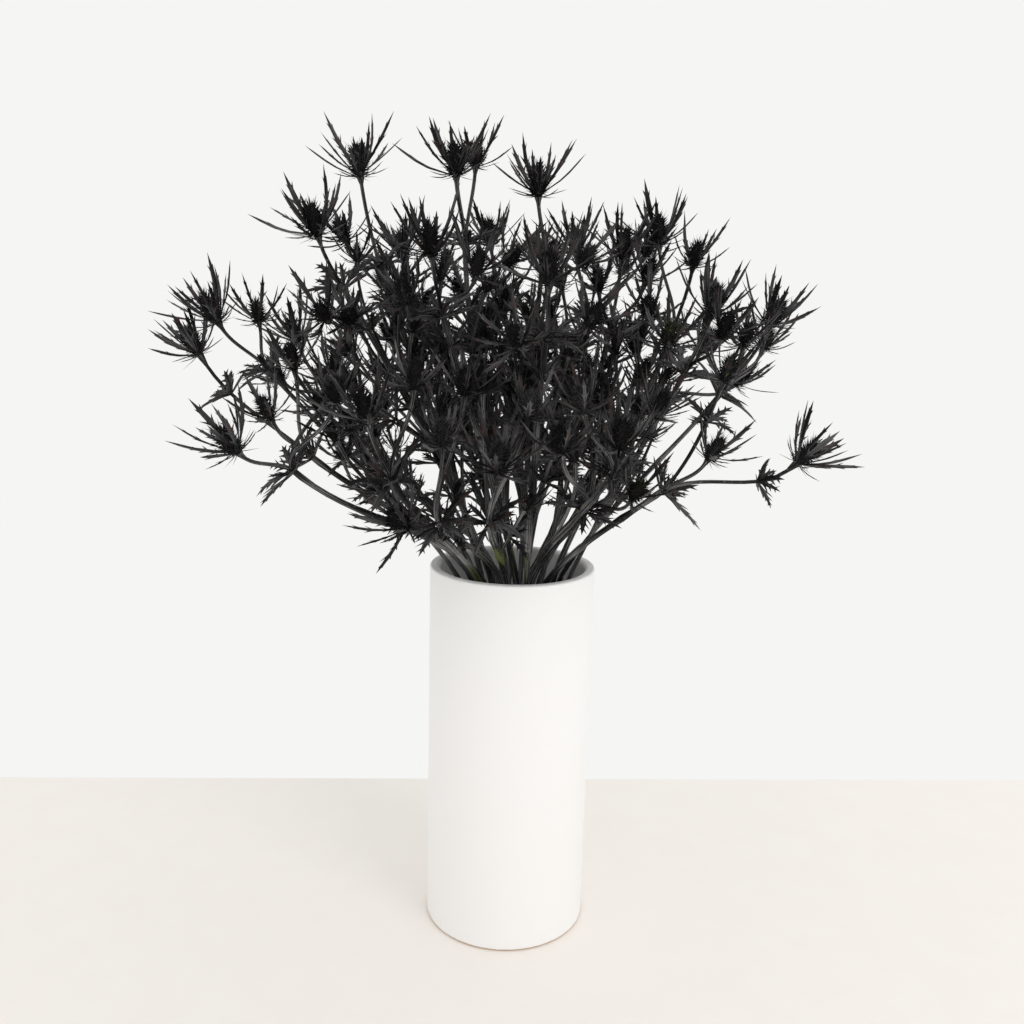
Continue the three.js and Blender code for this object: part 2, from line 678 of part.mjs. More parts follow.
function planFoliage(spray) {
  const centre = along(spray.fork, spray.lean, -FORK_BAND / 2);
  const frame = spray.frames[STEM_STEPS];
  const whorl = { centre, frame, radius: STEM_TIP_RADIUS, sides: STEM_SIDES, scale: 1 };
  spray.leaves = planLeaves(whorl, spray, spray.number);
  for (const head of spray.heads.filter(({ whorl: isWhorled }) => isWhorled)) {
    const branchFrame = head.frames[head.steps - 1];
    const small = {
      centre: along(head.whorl, branchFrame.z, FORK_BAND / 2),
      frame: branchFrame,
      radius: BRANCH_RADIUS / 2,
      sides: BRANCH_SIDES,
      scale: SMALL_WHORL,
    };
    head.leaves = planLeaves(small, spray, head.seed);
  }
}

const sprays = SPRAYS.map(planSpray);
sprays.forEach(claimRods);
claimRim();
sprays.forEach((spray) => spray.heads.forEach((head) => planBracts(spray, head)));
sprays.forEach(planFoliage);

const arrangement = new THREE.Group();
addMesh(arrangement, "vase", vaseSolid(), glaze);
addMesh(arrangement, "water", waterSolid(sprays), water);
for (const spray of sprays) {
  addMesh(arrangement, `spray_${spray.name}`, spraySolid(spray), dyedPlant);
}

export default arrangement;
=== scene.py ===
# %% [markdown]
# # A vase of dyed sea holly
#
# The object is a plain ceramic cylinder that holds a loose bunch of sea holly, dyed black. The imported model
# gives every piece its place and size: the vase, the water, and 27 sprays of coarse solids. This lesson keeps
# those places and gives the pieces their real surface. Each spray is made again from finer parts: ribbed
# stems, lobed leaves, narrow bracts with needle teeth, and cones of small pointed florets.

import math
from collections import namedtuple

import bmesh
import bpy
import numpy as np
from mathutils import Matrix, Vector


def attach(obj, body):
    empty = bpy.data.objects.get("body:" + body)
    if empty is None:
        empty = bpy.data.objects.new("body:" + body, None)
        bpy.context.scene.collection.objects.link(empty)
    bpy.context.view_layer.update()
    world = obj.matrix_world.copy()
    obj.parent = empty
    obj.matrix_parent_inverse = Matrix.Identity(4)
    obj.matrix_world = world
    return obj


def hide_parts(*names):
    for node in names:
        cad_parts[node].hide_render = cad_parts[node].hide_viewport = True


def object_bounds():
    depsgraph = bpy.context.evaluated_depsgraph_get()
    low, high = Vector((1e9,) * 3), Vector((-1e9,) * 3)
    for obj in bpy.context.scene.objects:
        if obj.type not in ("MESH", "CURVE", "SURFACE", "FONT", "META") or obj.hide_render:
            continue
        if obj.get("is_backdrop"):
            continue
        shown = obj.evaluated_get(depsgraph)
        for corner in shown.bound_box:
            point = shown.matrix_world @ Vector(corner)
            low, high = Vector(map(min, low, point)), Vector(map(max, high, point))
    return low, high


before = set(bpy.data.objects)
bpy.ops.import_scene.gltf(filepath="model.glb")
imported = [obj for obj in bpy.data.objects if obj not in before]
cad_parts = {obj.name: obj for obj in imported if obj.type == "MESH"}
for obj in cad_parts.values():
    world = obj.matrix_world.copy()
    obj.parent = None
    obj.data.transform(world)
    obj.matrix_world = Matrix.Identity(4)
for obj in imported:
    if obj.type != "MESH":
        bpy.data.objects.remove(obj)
cad_low, cad_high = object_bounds()
print("packed model, lowest and highest corner in metres:", tuple(cad_low), tuple(cad_high))

# %% [markdown]
# ## Where the sprays stand
#
# A spray is one plant stem with a fork and two or three flower heads. Its fork and the collars of its heads
# are listed places, and everything else follows by rule: the stems share the vase's mouth like the seeds of a
# sunflower, and the bunch is twisted as a florist twists it, so that no two stems meet. The number after the
# name says how many thin side shoots fill the bunch there. The table is in millimetres, and MM turns it into
# Blender's metres.

# %% Table of sprays
MM = 0.001
SPRAYS = [
    ("top_right", 6, (15, 0, 455), [(10, -10, 485), (35, -40, 445)]),
    ("top_pair", 6, (-35, 5, 460), [(-40, -15, 495), (-30, 20, 505), (-10, -25, 445)]),
    ("top_left", 8, (-45, -50, 415), [(-50, -70, 445), (-25, -95, 435), (-60, -90, 420)]),
    ("back_top", 6, (-10, 70, 420), [(-20, 75, 460), (10, 110, 455), (-35, 40, 425)]),
    ("upper_left", 8, (-105, -45, 430), [(-115, -60, 455), (-105, -95, 410), (-95, -80, 410)]),
    ("right_small", 0, (45, -45, 300), [(25, -100, 340), (65, -95, 315), (50, -50, 360)]),
    ("back_top_left", 8, (-70, 60, 415), [(-80, 65, 450), (-55, 95, 445), (-95, 90, 430)]),
    ("low_left", 0, (-45, -75, 295), [(-60, -95, 295), (-40, -115, 345), (-30, -95, 370)]),
    ("right_top", 6, (60, 20, 405), [(65, 10, 450), (75, -30, 435), (50, -5, 430)]),
    ("tall_left", 8, (-90, 10, 445), [(-100, 0, 495), (-105, -20, 455), (-75, -15, 430)]),
    ("right_front", 1, (55, -90, 330), [(55, -110, 345), (35, -120, 365), (75, -95, 360)]),
    ("back_top_right", 8, (50, 75, 415), [(40, 70, 455), (75, 110, 445), (85, 60, 455)]),
    ("left_low", 1, (-130, -75, 325), [(-155, -90, 335), (-100, -105, 365), (-110, -50, 375)]),
    ("right_crown", 6, (100, 5, 410), [(90, 20, 460), (105, -20, 445), (75, -60, 415)]),
    ("back_low_left", 3, (-105, 80, 315), [(-140, 110, 335), (-105, 110, 365), (-85, 50, 390)]),
    ("front_centre", 1, (-15, -85, 300), [(-10, -110, 330), (5, -115, 360), (-20, -80, 370)]),
    ("back_right", 2, (100, 65, 360), [(130, 75, 390), (150, 50, 370), (85, 70, 395)]),
    ("left_long", 2, (-130, -20, 325), [(-195, -25, 385), (-145, -55, 350), (-130, -60, 380)]),
    ("low_right", 0, (90, -55, 315), [(170, -45, 330), (110, -75, 335), (115, -80, 380)]),
    ("back_centre", 8, (-20, 95, 355), [(-30, 120, 395), (10, 130, 390), (-60, 110, 390)]),
    ("left_front", 2, (-70, -95, 325), [(-80, -110, 355), (-55, -120, 375), (-45, -75, 355)]),
    ("far_right", 1, (130, -10, 370), [(155, -15, 410), (130, -60, 400), (165, 35, 395)]),
    ("back_left", 3, (-130, 55, 355), [(-155, 70, 390), (-125, 90, 400), (-160, 45, 365)]),
    ("front_high", 6, (15, -85, 405), [(15, -95, 430), (0, -120, 400), (35, -110, 410)]),
    ("back_low_right", 2, (65, 90, 320), [(105, 120, 340), (55, 120, 370), (35, 50, 375)]),
    ("left_pair", 3, (-155, -25, 380), [(-180, -35, 405), (-165, 0, 405)]),
    ("right_mid", 4, (100, -45, 385), [(110, -55, 415), (110, -90, 405), (80, -105, 400)]),
]
print(len(SPRAYS), "sprays with", sum(len(row[-1]) for row in SPRAYS), "flower heads")

# %% [markdown]
# ## Directions and curves
#
# A stem is a straight run through the water, a short bend up to the mouth and a curve to its fork, and each
# branch is one more curve from there to its head. They are Bezier curves, which need only four corners.
# `chance` gives the same random-looking number every time, and its second number tells one draw from another.

# %% Helpers for places and directions
WORLD = np.eye(3)
ACROSS, _, UP = WORLD
CHANCE_FACTORS = (12.9898, 78.233, 43758.5453)


def unit(vector):
    return vector / np.linalg.norm(vector)


def towards(start, end):
    return unit(end - start)


def blend(first, first_share, second, second_share):
    return unit(first * first_share + second * second_share)


def chance(seed, number):
    wave = math.sin(seed * CHANCE_FACTORS[0] + number * CHANCE_FACTORS[1]) * CHANCE_FACTORS[2]
    return wave - math.floor(wave)


def drawn(spread, seed, number):
    """A random share of the spread, from minus half of it to plus half."""
    return spread * (chance(seed, number) - 0.5)


def curve_point(corners, share):
    a, b, c, d = corners
    left = 1 - share
    return a * left**3 + 3 * b * left**2 * share + 3 * c * left * share**2 + d * share**3


def curve_way(corners, share):
    a, b, c, d = corners
    left = 1 - share
    return unit((b - a) * left**2 + 2 * (c - b) * left * share + (d - c) * share**2)


def square_to(way, hint):
    return unit(hint - way * np.dot(hint, way))


def carried(corners, steps, hint):
    """A direction across the curve at its end, carried along from a hint so that it doesn't twist."""
    for k in range(steps + 1):
        hint = square_to(curve_way(corners, k / steps), hint)
    return hint


def axes_at(corners, share, hint):
    """Three directions at a place on a curve: across it, up from it and along it."""
    ahead = curve_way(corners, share)
    across = square_to(ahead, hint)
    return (across, np.cross(ahead, across), ahead)


def around(axes, angle):
    across, up, _ = axes
    return across * math.cos(angle) + up * math.sin(angle)


# %% [markdown]
# ## Bending a straight piece
#
# Every repeated piece is modelled once, straight and upright: one unit long, with its half width as the unit
# across. A `Path` is a bent line with a direction across it, and `lay` bends a copy of a piece along one, as
# a Curve modifier does. It also remembers, for the finish, where each point was before the bend.

# %% Shapes and paths
CORNER_CUT = 0.25
PATTERN_SHIFT = 0.1

# Points, the corners of all faces, how many each face has, marks on the points, and the faces' finishes.
Shape = namedtuple("Shape", "points corners sizes marks finish")


def join(shapes):
    """Several shapes as one."""
    offsets = np.cumsum([0] + [len(shape.points) for shape in shapes[:-1]])
    corners = np.concatenate([shape.corners + offset for shape, offset in zip(shapes, offsets)])
    marks = {mark: np.concatenate([shape.marks[mark] for shape in shapes]) for mark in shapes[0].marks}
    points, sizes, finish = (
        np.concatenate([getattr(shape, part) for shape in shapes]) for part in ("points", "sizes", "finish")
    )
    return Shape(points, corners, sizes, marks, finish)


class Path:
    """A bent line, with two directions across it at every point."""

    def __init__(self, points, side):
        self.points = np.array(points)
        steps = np.linalg.norm(np.diff(self.points, axis=0), axis=1)
        self.length = steps.sum()
        self.share = np.concatenate([[0], np.cumsum(steps)]) / self.length
        ways = np.gradient(self.points, self.share, axis=0)
        self.ahead = ways / np.linalg.norm(ways, axis=1, keepdims=True)
        across = []
        for way in self.ahead:
            side = square_to(way, side)
            across.append(side)
        self.across = np.array(across)
        self.up = np.cross(self.ahead, self.across)

    def at(self, share, values):
        return np.stack([np.interp(share, self.share, values[:, k]) for k in range(3)], axis=1)


def rounded(points):
    """The same line with its corners cut twice, as a blade bends."""
    for _ in range(2):
        cut = [points[0]]
        for start, end in zip(points[:-1], points[1:]):
            for share in (CORNER_CUT, 1 - CORNER_CUT):
                cut.append(start * (1 - share) + end * share)
        cut.append(points[-1])
        points = cut
    return points


def along(share, value):
    """A number stays a number, and pairs of share and value are read off at each share."""
    return value if np.isscalar(value) else np.interp(share, *zip(*value))


def lay(shape, path, half_width, seed=0, undyed=0.0):
    """A copy of a straight shape, bent along a path. Width and missed dye may change along it."""
    x, y, z = shape.points.T
    share = np.clip(z, 0, 1)
    wide_x = x * along(share, half_width)
    wide_y = y * along(share, half_width)
    beyond = (z - share) * path.length
    points = path.at(share, path.points) + path.at(share, path.ahead) * beyond[:, None]
    points += path.at(share, path.across) * wide_x[:, None] + path.at(share, path.up) * wide_y[:, None]
    marks = {
        "crest": shape.marks["crest"],
        "undyed": np.full(len(points), 1.0) * along(share, undyed),
        "straight": np.stack([wide_x, wide_y, z * path.length + seed * PATTERN_SHIFT], axis=1),
    }
    return Shape(points, shape.corners, shape.sizes, marks, shape.finish)


# %% [markdown]
# ## Modelling by hand
#
# The small shapes are made with Blender's modelling operators. An operator acts on all that is selected, so
# each shape starts with nothing selected, and faces and edges are then picked by where they are and which way
# they look. The finished shape is read into a `Shape` and its object is removed.

# %% Helpers for modelling
FINISHES = ["dyed_stem", "dyed_leaf", "dyed_floret"]


def start_clean():
    if bpy.context.object and bpy.context.object.mode != "OBJECT":
        bpy.ops.object.mode_set(mode="OBJECT")
    bpy.ops.object.select_all(action="DESELECT")


def start_ring(sides, radius, turn=0.0):
    """Starts a piece as a filled ring, in edit mode and all selected."""
    start_clean()
    bpy.ops.mesh.primitive_circle_add(vertices=sides, radius=radius, fill_type="NGON", rotation=(0, 0, turn))
    bpy.ops.object.transform_apply()
    bpy.ops.object.mode_set(mode="EDIT")
    bpy.ops.mesh.select_mode(type="FACE")
    bpy.ops.mesh.select_all(action="SELECT")


def pick(kind, test):
    """In edit mode, selects the VERT, EDGE or FACE parts that pass the test, and counts them."""
    mesh = bmesh.from_edit_mesh(bpy.context.object.data)
    parts = {"VERT": mesh.verts, "EDGE": mesh.edges, "FACE": mesh.faces}[kind]
    bpy.ops.mesh.select_mode(type=kind)
    bpy.ops.mesh.select_all(action="DESELECT")
    picked = [part for part in parts if test(part)]
    for part in picked:
        part.select_set(True)
    bmesh.update_edit_mesh(bpy.context.object.data)
    return len(picked)


def resize(scale, centre=(0, 0, 0)):
    bpy.ops.transform.resize(value=scale, center_override=centre)


def extrude(move, scale=(1, 1, 1), centre=(0, 0, 0)):
    bpy.ops.mesh.extrude_region_move(TRANSFORM_OT_translate={"value": move})
    resize(scale, centre)


def face_outwards():
    bpy.ops.mesh.select_all(action="SELECT")
    bpy.ops.mesh.normals_make_consistent(inside=False)


def take_shape(finish, crest):
    """Reads the object that is being modelled into a Shape, and removes it."""
    bpy.ops.object.mode_set(mode="OBJECT")
    made = bpy.context.object
    mesh = made.data
    points = np.array([point.co for point in mesh.vertices])
    corners = np.array([loop.vertex_index for loop in mesh.loops])
    sizes = np.array([face.loop_total for face in mesh.polygons])
    marks = {"crest": crest(points), "undyed": np.zeros(len(points)), "straight": points}
    bpy.data.objects.remove(made)
    bpy.data.meshes.remove(mesh)
    return Shape(points, corners, sizes, marks, np.full(len(sizes), FINISHES.index(finish)))


# %% [markdown]
# ## Ribbed stems
#
# A sea holly's stem isn't round: it has fine ribs all the way up, which catch the light as pale lines between
# dark grooves. A circle whose every second point is drawn in has that section, and extruding it step by step
# gives a rod with enough joints to bend. Main stems get a long rod, and branches one with fewer faces.

# %% Model the rods
def ribbed_rod(ribs, joints, groove):
    """groove is how far the points between the ribs are drawn in."""
    start_ring(2 * ribs, 1)
    pick("VERT", lambda point: point.index % 2 == 0)
    resize((groove, groove, 1))
    pick("FACE", lambda face: True)
    for _ in range(joints):
        extrude((0, 0, 1 / joints))
    face_outwards()

    # The crest mark: how far a point stands out of a groove. The finish uses it to paint highlight on the
    # ribs and shade in the grooves.
    def crest(points):
        reach = np.hypot(points[:, 0], points[:, 1])
        return (reach - groove) / (1 - groove)

    return take_shape("dyed_stem", crest)


STEM_ROD = ribbed_rod(ribs=9, joints=40, groove=0.9)
BRANCH_ROD = ribbed_rod(ribs=6, joints=12, groove=0.84)
print("stem rod", len(STEM_ROD.sizes), "faces, branch rod", len(BRANCH_ROD.sizes))

# %% [markdown]
# ## Bracts and leaves
#
# A bract is a narrow stiff blade: flat on its upper side, keeled below, with a few needle teeth on each side
# that point forward, and a needle for a tip. A five-sided ring has that section, and it is extruded from
# station to station. Some stations lie close together, and the thin side face between them is pulled out into
# a tooth. A leaf of the whorls is the same blade with wider side faces near its foot, pulled out in steps to
# make a lobe on each side.

# %% Model the blades
BLADE_SIDES = 5
BLADE_THICKNESS = 0.42
LOBE_STEPS = 3
LOBE_TAPER = (0.8, 0.8, 0.72)
LOOKS_ASIDE = 0.5


def blade(stations, teeth, lobes=()):
    """stations are pairs of share and half width; teeth and lobes are (station, side, reach, forward)."""
    start_ring(BLADE_SIDES, 1, turn=math.pi)
    first = stations[0][1]
    thickness = BLADE_THICKNESS * math.sqrt(first)
    resize((first, thickness, 1))
    for (low, width), (high, next_width) in zip(stations[:-1], stations[1:]):
        ratio = next_width / width
        extrude((0, 0, high - low), (ratio, math.sqrt(ratio), 1), (0, 0, high))
    bpy.ops.mesh.merge(type="CENTER")
    face_outwards()
    spikes = [(1, *tooth) for tooth in teeth] + [(LOBE_STEPS, *lobe) for lobe in lobes]
    for steps, station, side, reach, forward in spikes:
        low, high = stations[station][0], stations[station + 1][0]

        def is_side_face(face):
            across = face.normal.x * side
            return (low < face.calc_center_median().z < high
                    and across > LOOKS_ASIDE * math.hypot(face.normal.x, face.normal.y))

        found = pick("FACE", is_side_face)
        if found != 1:
            raise ValueError(f"a spike starts on one face, and {found} were picked")
        for step in range(steps):
            extrude((side * reach / steps, 0, forward / steps))
            if step + 1 < steps:
                mesh = bmesh.from_edit_mesh(bpy.context.object.data)
                middle = next(face for face in mesh.faces if face.select).calc_center_median()
                resize(LOBE_TAPER, middle)
        bpy.ops.mesh.merge(type="CENTER")
    # A blade's crest mark grows towards its edges, where the finish paints a highlight.
    return take_shape("dyed_leaf", lambda points: np.clip(np.abs(points[:, 0]), 0, 1))


BRACTS = [
    blade(
        [(0, 0.3), (0.22, 0.6), (0.27, 0.66), (0.48, 0.94),
         (0.53, 1.0), (0.72, 0.84), (0.77, 0.7), (1, 0.08)],
        [(1, 1, 1.2, 0.09), (1, -1, 1.5, 0.1), (3, 1, 1.9, 0.13),
         (3, -1, 1.4, 0.11), (5, 1, 0.5, 0.07), (5, -1, 0.8, 0.09)],
    ),
    blade(
        [(0, 0.26), (0.34, 0.72), (0.39, 0.8), (0.56, 1.0),
         (0.61, 0.98), (0.78, 0.76), (0.83, 0.6), (1, 0.08)],
        [(1, 1, 1.7, 0.11), (1, -1, 1.1, 0.08), (3, 1, 1.3, 0.1),
         (3, -1, 1.8, 0.13), (5, 1, 0.6, 0.07), (5, -1, 0.4, 0.06)],
    ),
]
NARROW_BRACT = blade(
    [(0, 0.6), (0.42, 1.0), (0.48, 0.96), (0.7, 0.8), (0.75, 0.7), (1, 0.12)],
    [(1, 1, 1.8, 0.11), (1, -1, 1.3, 0.1), (3, 1, 0.6, 0.07), (3, -1, 0.9, 0.08)],
)
LEAVES = [
    blade(
        [(0, 0.4), (0.18, 0.66), (0.28, 0.86), (0.46, 1.0),
         (0.53, 0.95), (0.7, 0.66), (0.76, 0.56), (1, 0.08)],
        [(3, 1, 1.7, 0.16), (3, -1, 1.4, 0.14), (5, 1, 1.3, 0.12), (5, -1, 1.5, 0.13)],
        [(1, 1, 3.0, 0.3), (1, -1, 2.4, 0.26)],
    ),
    blade(
        [(0, 0.36), (0.28, 0.8), (0.38, 0.96), (0.56, 1.0),
         (0.62, 0.92), (0.77, 0.6), (0.82, 0.5), (1, 0.08)],
        [(3, 1, 1.5, 0.14), (3, -1, 1.8, 0.16), (5, 1, 1.2, 0.11), (5, -1, 1.0, 0.1)],
        [(1, 1, 2.2, 0.25), (1, -1, 3.1, 0.3)],
    ),
]
print("bract", len(BRACTS[0].sizes), "faces, leaf", len(LEAVES[0].sizes), "faces")

# %% [markdown]
# ## The cone of a flower head
#
# The cone is a dense ball of small flowers, each with a stiff point, set in the golden-angle spiral that the
# plant uses itself. One floret, with a small base, a wider ring and a tip, is copied over an egg-shaped core,
# with longer and thinner needles between, and bristles stand out sideways under them. Two cones are made, in
# millimetres for a head of full size, and every head takes a copy of one.

# %% Model a floret and the core
FLORET_WAIST = 0.3

start_ring(3, 0.7)
extrude((0, 0, FLORET_WAIST), (1.2, 1.2, 1), (0, 0, FLORET_WAIST))
extrude((0, 0, 1 - FLORET_WAIST), (0.1, 0.1, 1), (0, 0, 1))
bpy.ops.mesh.merge(type="CENTER")
face_outwards()
# A floret's crest mark grows towards its tip, where the finish paints a highlight.
FLORET = take_shape("dyed_floret", lambda points: points[:, 2] ** 2)

start_clean()
bpy.ops.mesh.primitive_uv_sphere_add(segments=12, ring_count=8, radius=1)
bpy.ops.object.mode_set(mode="EDIT")
bpy.ops.mesh.select_all(action="SELECT")
resize((1, 1, 0.5))
bpy.ops.transform.translate(value=(0, 0, 0.5))
EGG_CORE = take_shape("dyed_floret", lambda points: np.zeros(len(points)))

# %% Build the cones
GOLDEN_ANGLE = math.pi * (3 - math.sqrt(5))
CONE_LENGTH = 19
CONE_TOP = CONE_LENGTH - 2
CONE_RADIUS = 3.8
# Length, how much it varies, and radius.
FLORET_SIZE = (3.0, 2.0, 0.45)
NEEDLE_SIZE = (5.8, 2.0, 0.24)
BRISTLE_SIZE = (10.0, 5.0, 0.26)


def cone(florets, needles, bristles, seed):
    core_path = Path([np.array((0, 0, z)) for z in (-0.5, CONE_TOP / 2, CONE_TOP)], ACROSS)
    shapes = [lay(EGG_CORE, core_path, CONE_RADIUS)]
    for k in range(florets + needles):
        is_needle = k >= florets
        usual, spread, radius = NEEDLE_SIZE if is_needle else FLORET_SIZE
        share = (k - florets + 0.5) / needles if is_needle else (k + 0.5) / florets
        height = 1 - 1.8 * share
        out = around(WORLD, k * GOLDEN_ANGLE)
        ring = math.sqrt(1 - height**2)
        root = out * ring * CONE_RADIUS * 0.95 + UP * (height * 0.5 + 0.5) * CONE_TOP
        way = unit(out * ring + UP * (height + 0.45 + drawn(0.5, seed, k)) * 0.6)
        length = usual + drawn(spread, seed, k + 200)
        points = [root - way * 0.4, root + way * length * 0.6, root + way * length + UP * 0.5]
        shapes.append(lay(FLORET, Path(points, np.cross(way, UP)), radius, seed=k))
    usual, spread, radius = BRISTLE_SIZE
    for k in range(bristles):
        out = around(WORLD, 2 * math.pi * (k + chance(seed, k + 400)) / bristles)
        root = out * 1.6 + UP * 0.8
        way = unit(out + UP * (0.3 + drawn(1.4, seed, k + 500)))
        length = usual + drawn(spread, seed, k + 600)
        points = [root, root + way * length * 0.5, root + way * length + UP * 0.8]
        shapes.append(lay(FLORET, Path(points, np.cross(out, UP)), radius, seed=k))
    whole = join(shapes)
    whole.points[:, 2] /= CONE_LENGTH
    return whole


CONES = [cone(florets=150, needles=50, bristles=12, seed=seed) for seed in (3, 7)]
print("cone", len(CONES[0].sizes), "faces")

# %% [markdown]
# ## Finding a spray's curves
#
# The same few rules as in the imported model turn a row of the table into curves: where the stem passes the
# mouth, how it leans into its fork, and how each branch leaves the fork and turns up towards the light. The
# finer pieces then lie where the coarse ones are.

# %% Rules for stems and branches
VASE_HEIGHT = 252 * MM
VASE_FLOOR = 8 * MM
FOOT_LIFT = 0.5 * MM
MOUTH_SPREAD = 43 * MM
FOOT_SPREAD = 0.85
BUNCH_TWIST = math.radians(110)
BEND_DEPTH = 70 * MM
NECK_REACH = 0.4
STIFFNESS = 0.25
STEM_REACH = 0.36
FAN_SHARE = 0.75
BRANCH_REACH = 0.35
STEMWARD = 0.2
SKYWARD = 0.4
NECK_STEPS = 2
STEM_STEPS = 3
LONG_BRANCH = 72 * MM
STEEP = 0.9


def mouth_place(number):
    radius = MOUTH_SPREAD * math.sqrt((number + 0.5) / len(SPRAYS))
    return around(WORLD, number * GOLDEN_ANGLE) * radius + UP * VASE_HEIGHT


def foot_place(mouth):
    x, y = mouth[0] * FOOT_SPREAD, mouth[1] * FOOT_SPREAD
    turned_x = x * math.cos(BUNCH_TWIST) - y * math.sin(BUNCH_TWIST)
    turned_y = x * math.sin(BUNCH_TWIST) + y * math.cos(BUNCH_TWIST)
    return np.array((turned_x, turned_y, VASE_FLOOR + FOOT_LIFT))


def curve_between(start, start_way, end, end_way, stiffness):
    reach = stiffness * np.linalg.norm(end - start)
    return (start, start + start_way * reach, end - end_way * reach, end)


def plan_branch(spray, start, start_way, end, axis, steps, **traits):
    """A branch, with the three directions at its head and what else is known about the head."""
    corners = curve_between(start, start_way, end, axis, BRANCH_REACH)
    across = carried(corners, steps, spray["across"])
    axes = (across, np.cross(axis, across), axis)
    return dict(traits, place=end, corners=corners, steps=steps, axes=axes)


def plan_head(spray, place, order):
    fork, lean = spray["fork"], spray["lean"]
    way = towards(fork, place)
    axis = blend(blend(way, 1 - STEMWARD, lean, STEMWARD), 1 - SKYWARD, UP, SKYWARD)
    is_long = np.linalg.norm(place - fork) > LONG_BRANCH
    scale, bracts = (1.1, 7) if order == 0 else (0.92, 5)
    return plan_branch(
        spray, fork, blend(lean, 1, way, 1), place, axis, 3 if is_long else 2,
        is_long=is_long, scale=scale, bracts=bracts, ripeness=1, seed=spray["number"] * 10 + order + 1,
    )


def plan_spray(number, name, shoots, fork, places):
    fork = np.array(fork) * MM
    places = [np.array(place) * MM for place in places]
    mouth = mouth_place(number)
    foot = foot_place(mouth)
    way = towards(mouth, fork)
    mean = unit(sum(towards(fork, place) for place in places))
    lean = blend(way, FAN_SHARE, mean, 1 - FAN_SHARE)
    standing = towards(foot, mouth)
    bend = mouth - standing * BEND_DEPTH / standing[2]
    leaving = blend(standing, STIFFNESS, way, 1 - STIFFNESS)
    neck = curve_between(bend, standing, mouth, leaving, NECK_REACH)
    stem = curve_between(mouth, leaving, fork, lean, STEM_REACH)
    spray = dict(number=number, name=name, shoots=shoots, fork=fork, lean=lean, foot=foot, neck=neck,
                 stem=stem)
    spray["across"] = carried(stem, STEM_STEPS, carried(neck, NECK_STEPS, ACROSS))
    spray["is_steep"] = way[2] > STEEP
    spray["heads"] = [plan_head(spray, place, order) for order, place in enumerate(places)]
    return spray


plans = [plan_spray(number, *row) for number, row in enumerate(SPRAYS)]
lengths = [np.linalg.norm(plan["fork"] - plan["foot"]) for plan in plans]
print(f"stems run {min(lengths):.3f} to {max(lengths):.3f} m from foot to fork")

# %% [markdown]
# ## Stems and branches
#
# The rod is laid along the whole stem, from the vase's floor to the fork, and gets thinner on the way. It
# swells below the fork, where the whorl of leaves sits, and a little at the old joints lower down. Just above
# the mouth the dye has missed a streak on some stems: clearly on one in seven, and faintly on one in three.

# %% Lay the stems
STEM_RADIUS = 1.95 * MM
FORK_RADIUS = 2.9 * MM
BRANCH_RADIUS = 1.15 * MM
COLLAR_RADIUS = 2.3
JOINTS = (0.3, 0.66)
# Shares of the stem before and after a joint, and the girth there.
SWELLING = ((-0.02, 0.96), (0, 1.22), (0.02, 0.9))
PATCH_HALF = 0.06
PATCH_CORE = 0.01
CLEAR_PATCH = 0.92
FAINT_PATCH = 0.5


def stem_shape(spray):
    foot, bend = spray["foot"], spray["neck"][0]
    run = [foot * (1 - k / 8) + bend * k / 8 for k in range(8)]
    run += [curve_point(spray["neck"], k / 10) for k in range(10)]
    mouth = len(run)
    run += [curve_point(spray["stem"], k / 24) for k in range(25)]
    run.append(spray["fork"] + spray["lean"] * 1.6 * MM)
    path = Path(run, ACROSS)
    mouth_share, fork_share = path.share[mouth], path.share[-2]
    seed = spray["number"]
    girth = STEM_RADIUS * (1 + drawn(0.5, seed, 300))
    widths = [(0, girth * 1.05)]
    for joint in JOINTS:
        share = mouth_share + (fork_share - mouth_share) * (joint + drawn(0.1, seed, joint))
        widths += [(share + offset, girth * swell) for offset, swell in SWELLING]
    near_fork = ((12, girth * 0.85), (4, FORK_RADIUS), (1, FORK_RADIUS * 0.9), (0, 1.8 * MM))
    widths += [(1 - before * MM / path.length, radius) for before, radius in near_fork]
    patch = mouth_share + 0.09 * chance(seed, 320)
    luck = chance(seed, 330)
    missed = CLEAR_PATCH if luck > 0.85 else FAINT_PATCH if luck > 0.5 else 0.0
    core = [(patch - PATCH_CORE, missed), (patch + PATCH_CORE, missed)]
    undyed = [(patch - PATCH_HALF, 0), *core, (patch + PATCH_HALF, 0)]
    return lay(STEM_ROD, path, widths, seed=seed, undyed=undyed)


def branch_shape(head):
    points = [curve_point(head["corners"], k / 12) for k in range(13)]
    points.append(head["place"] + head["axes"][2] * 1.8 * MM)
    path = Path(points, head["axes"][0])
    collar = 1 - 4 * MM / path.length
    radius = BRANCH_RADIUS * (0.55 + 0.45 * head["scale"]) * (1 + drawn(0.3, head["seed"], 340))
    widths = [(0, radius * 1.25), (0.12, radius), (collar, radius), (1, COLLAR_RADIUS * MM * head["scale"])]
    return lay(BRANCH_ROD, path, widths, seed=head["seed"])


# %% [markdown]
# ## Heads and whorls
#
# A head has a collar of bracts in two rows, smaller ones between them and short narrow ones below. Young
# heads have narrow upright ones too. No two are alike: each has its own length, tilt, bow and drift. The
# whorls carry broad lobed leaves, which spread and hang a little at their ends, and smaller ones between.

# %% Lay the bracts, cones and leaves
BRACT_LENGTH = 32.5 * MM
BRACT_HALF_WIDTH = 1.62 * MM
BETWEEN_HALF_WIDTH = 1.05 * MM
NARROW_HALF_WIDTH = 0.65 * MM
LEAF_LENGTH = 28 * MM
LEAF_HALF_WIDTH = 2.3 * MM
LEAF_LOWEST = VASE_HEIGHT + 38 * MM
MOUTH_CLEAR = 72 * MM
LEAF_JOINTS = (0.46, 0.66, 0.84)
WHORL_OFFSET = 1.75
TWIG_RADIUS = 0.9 * MM


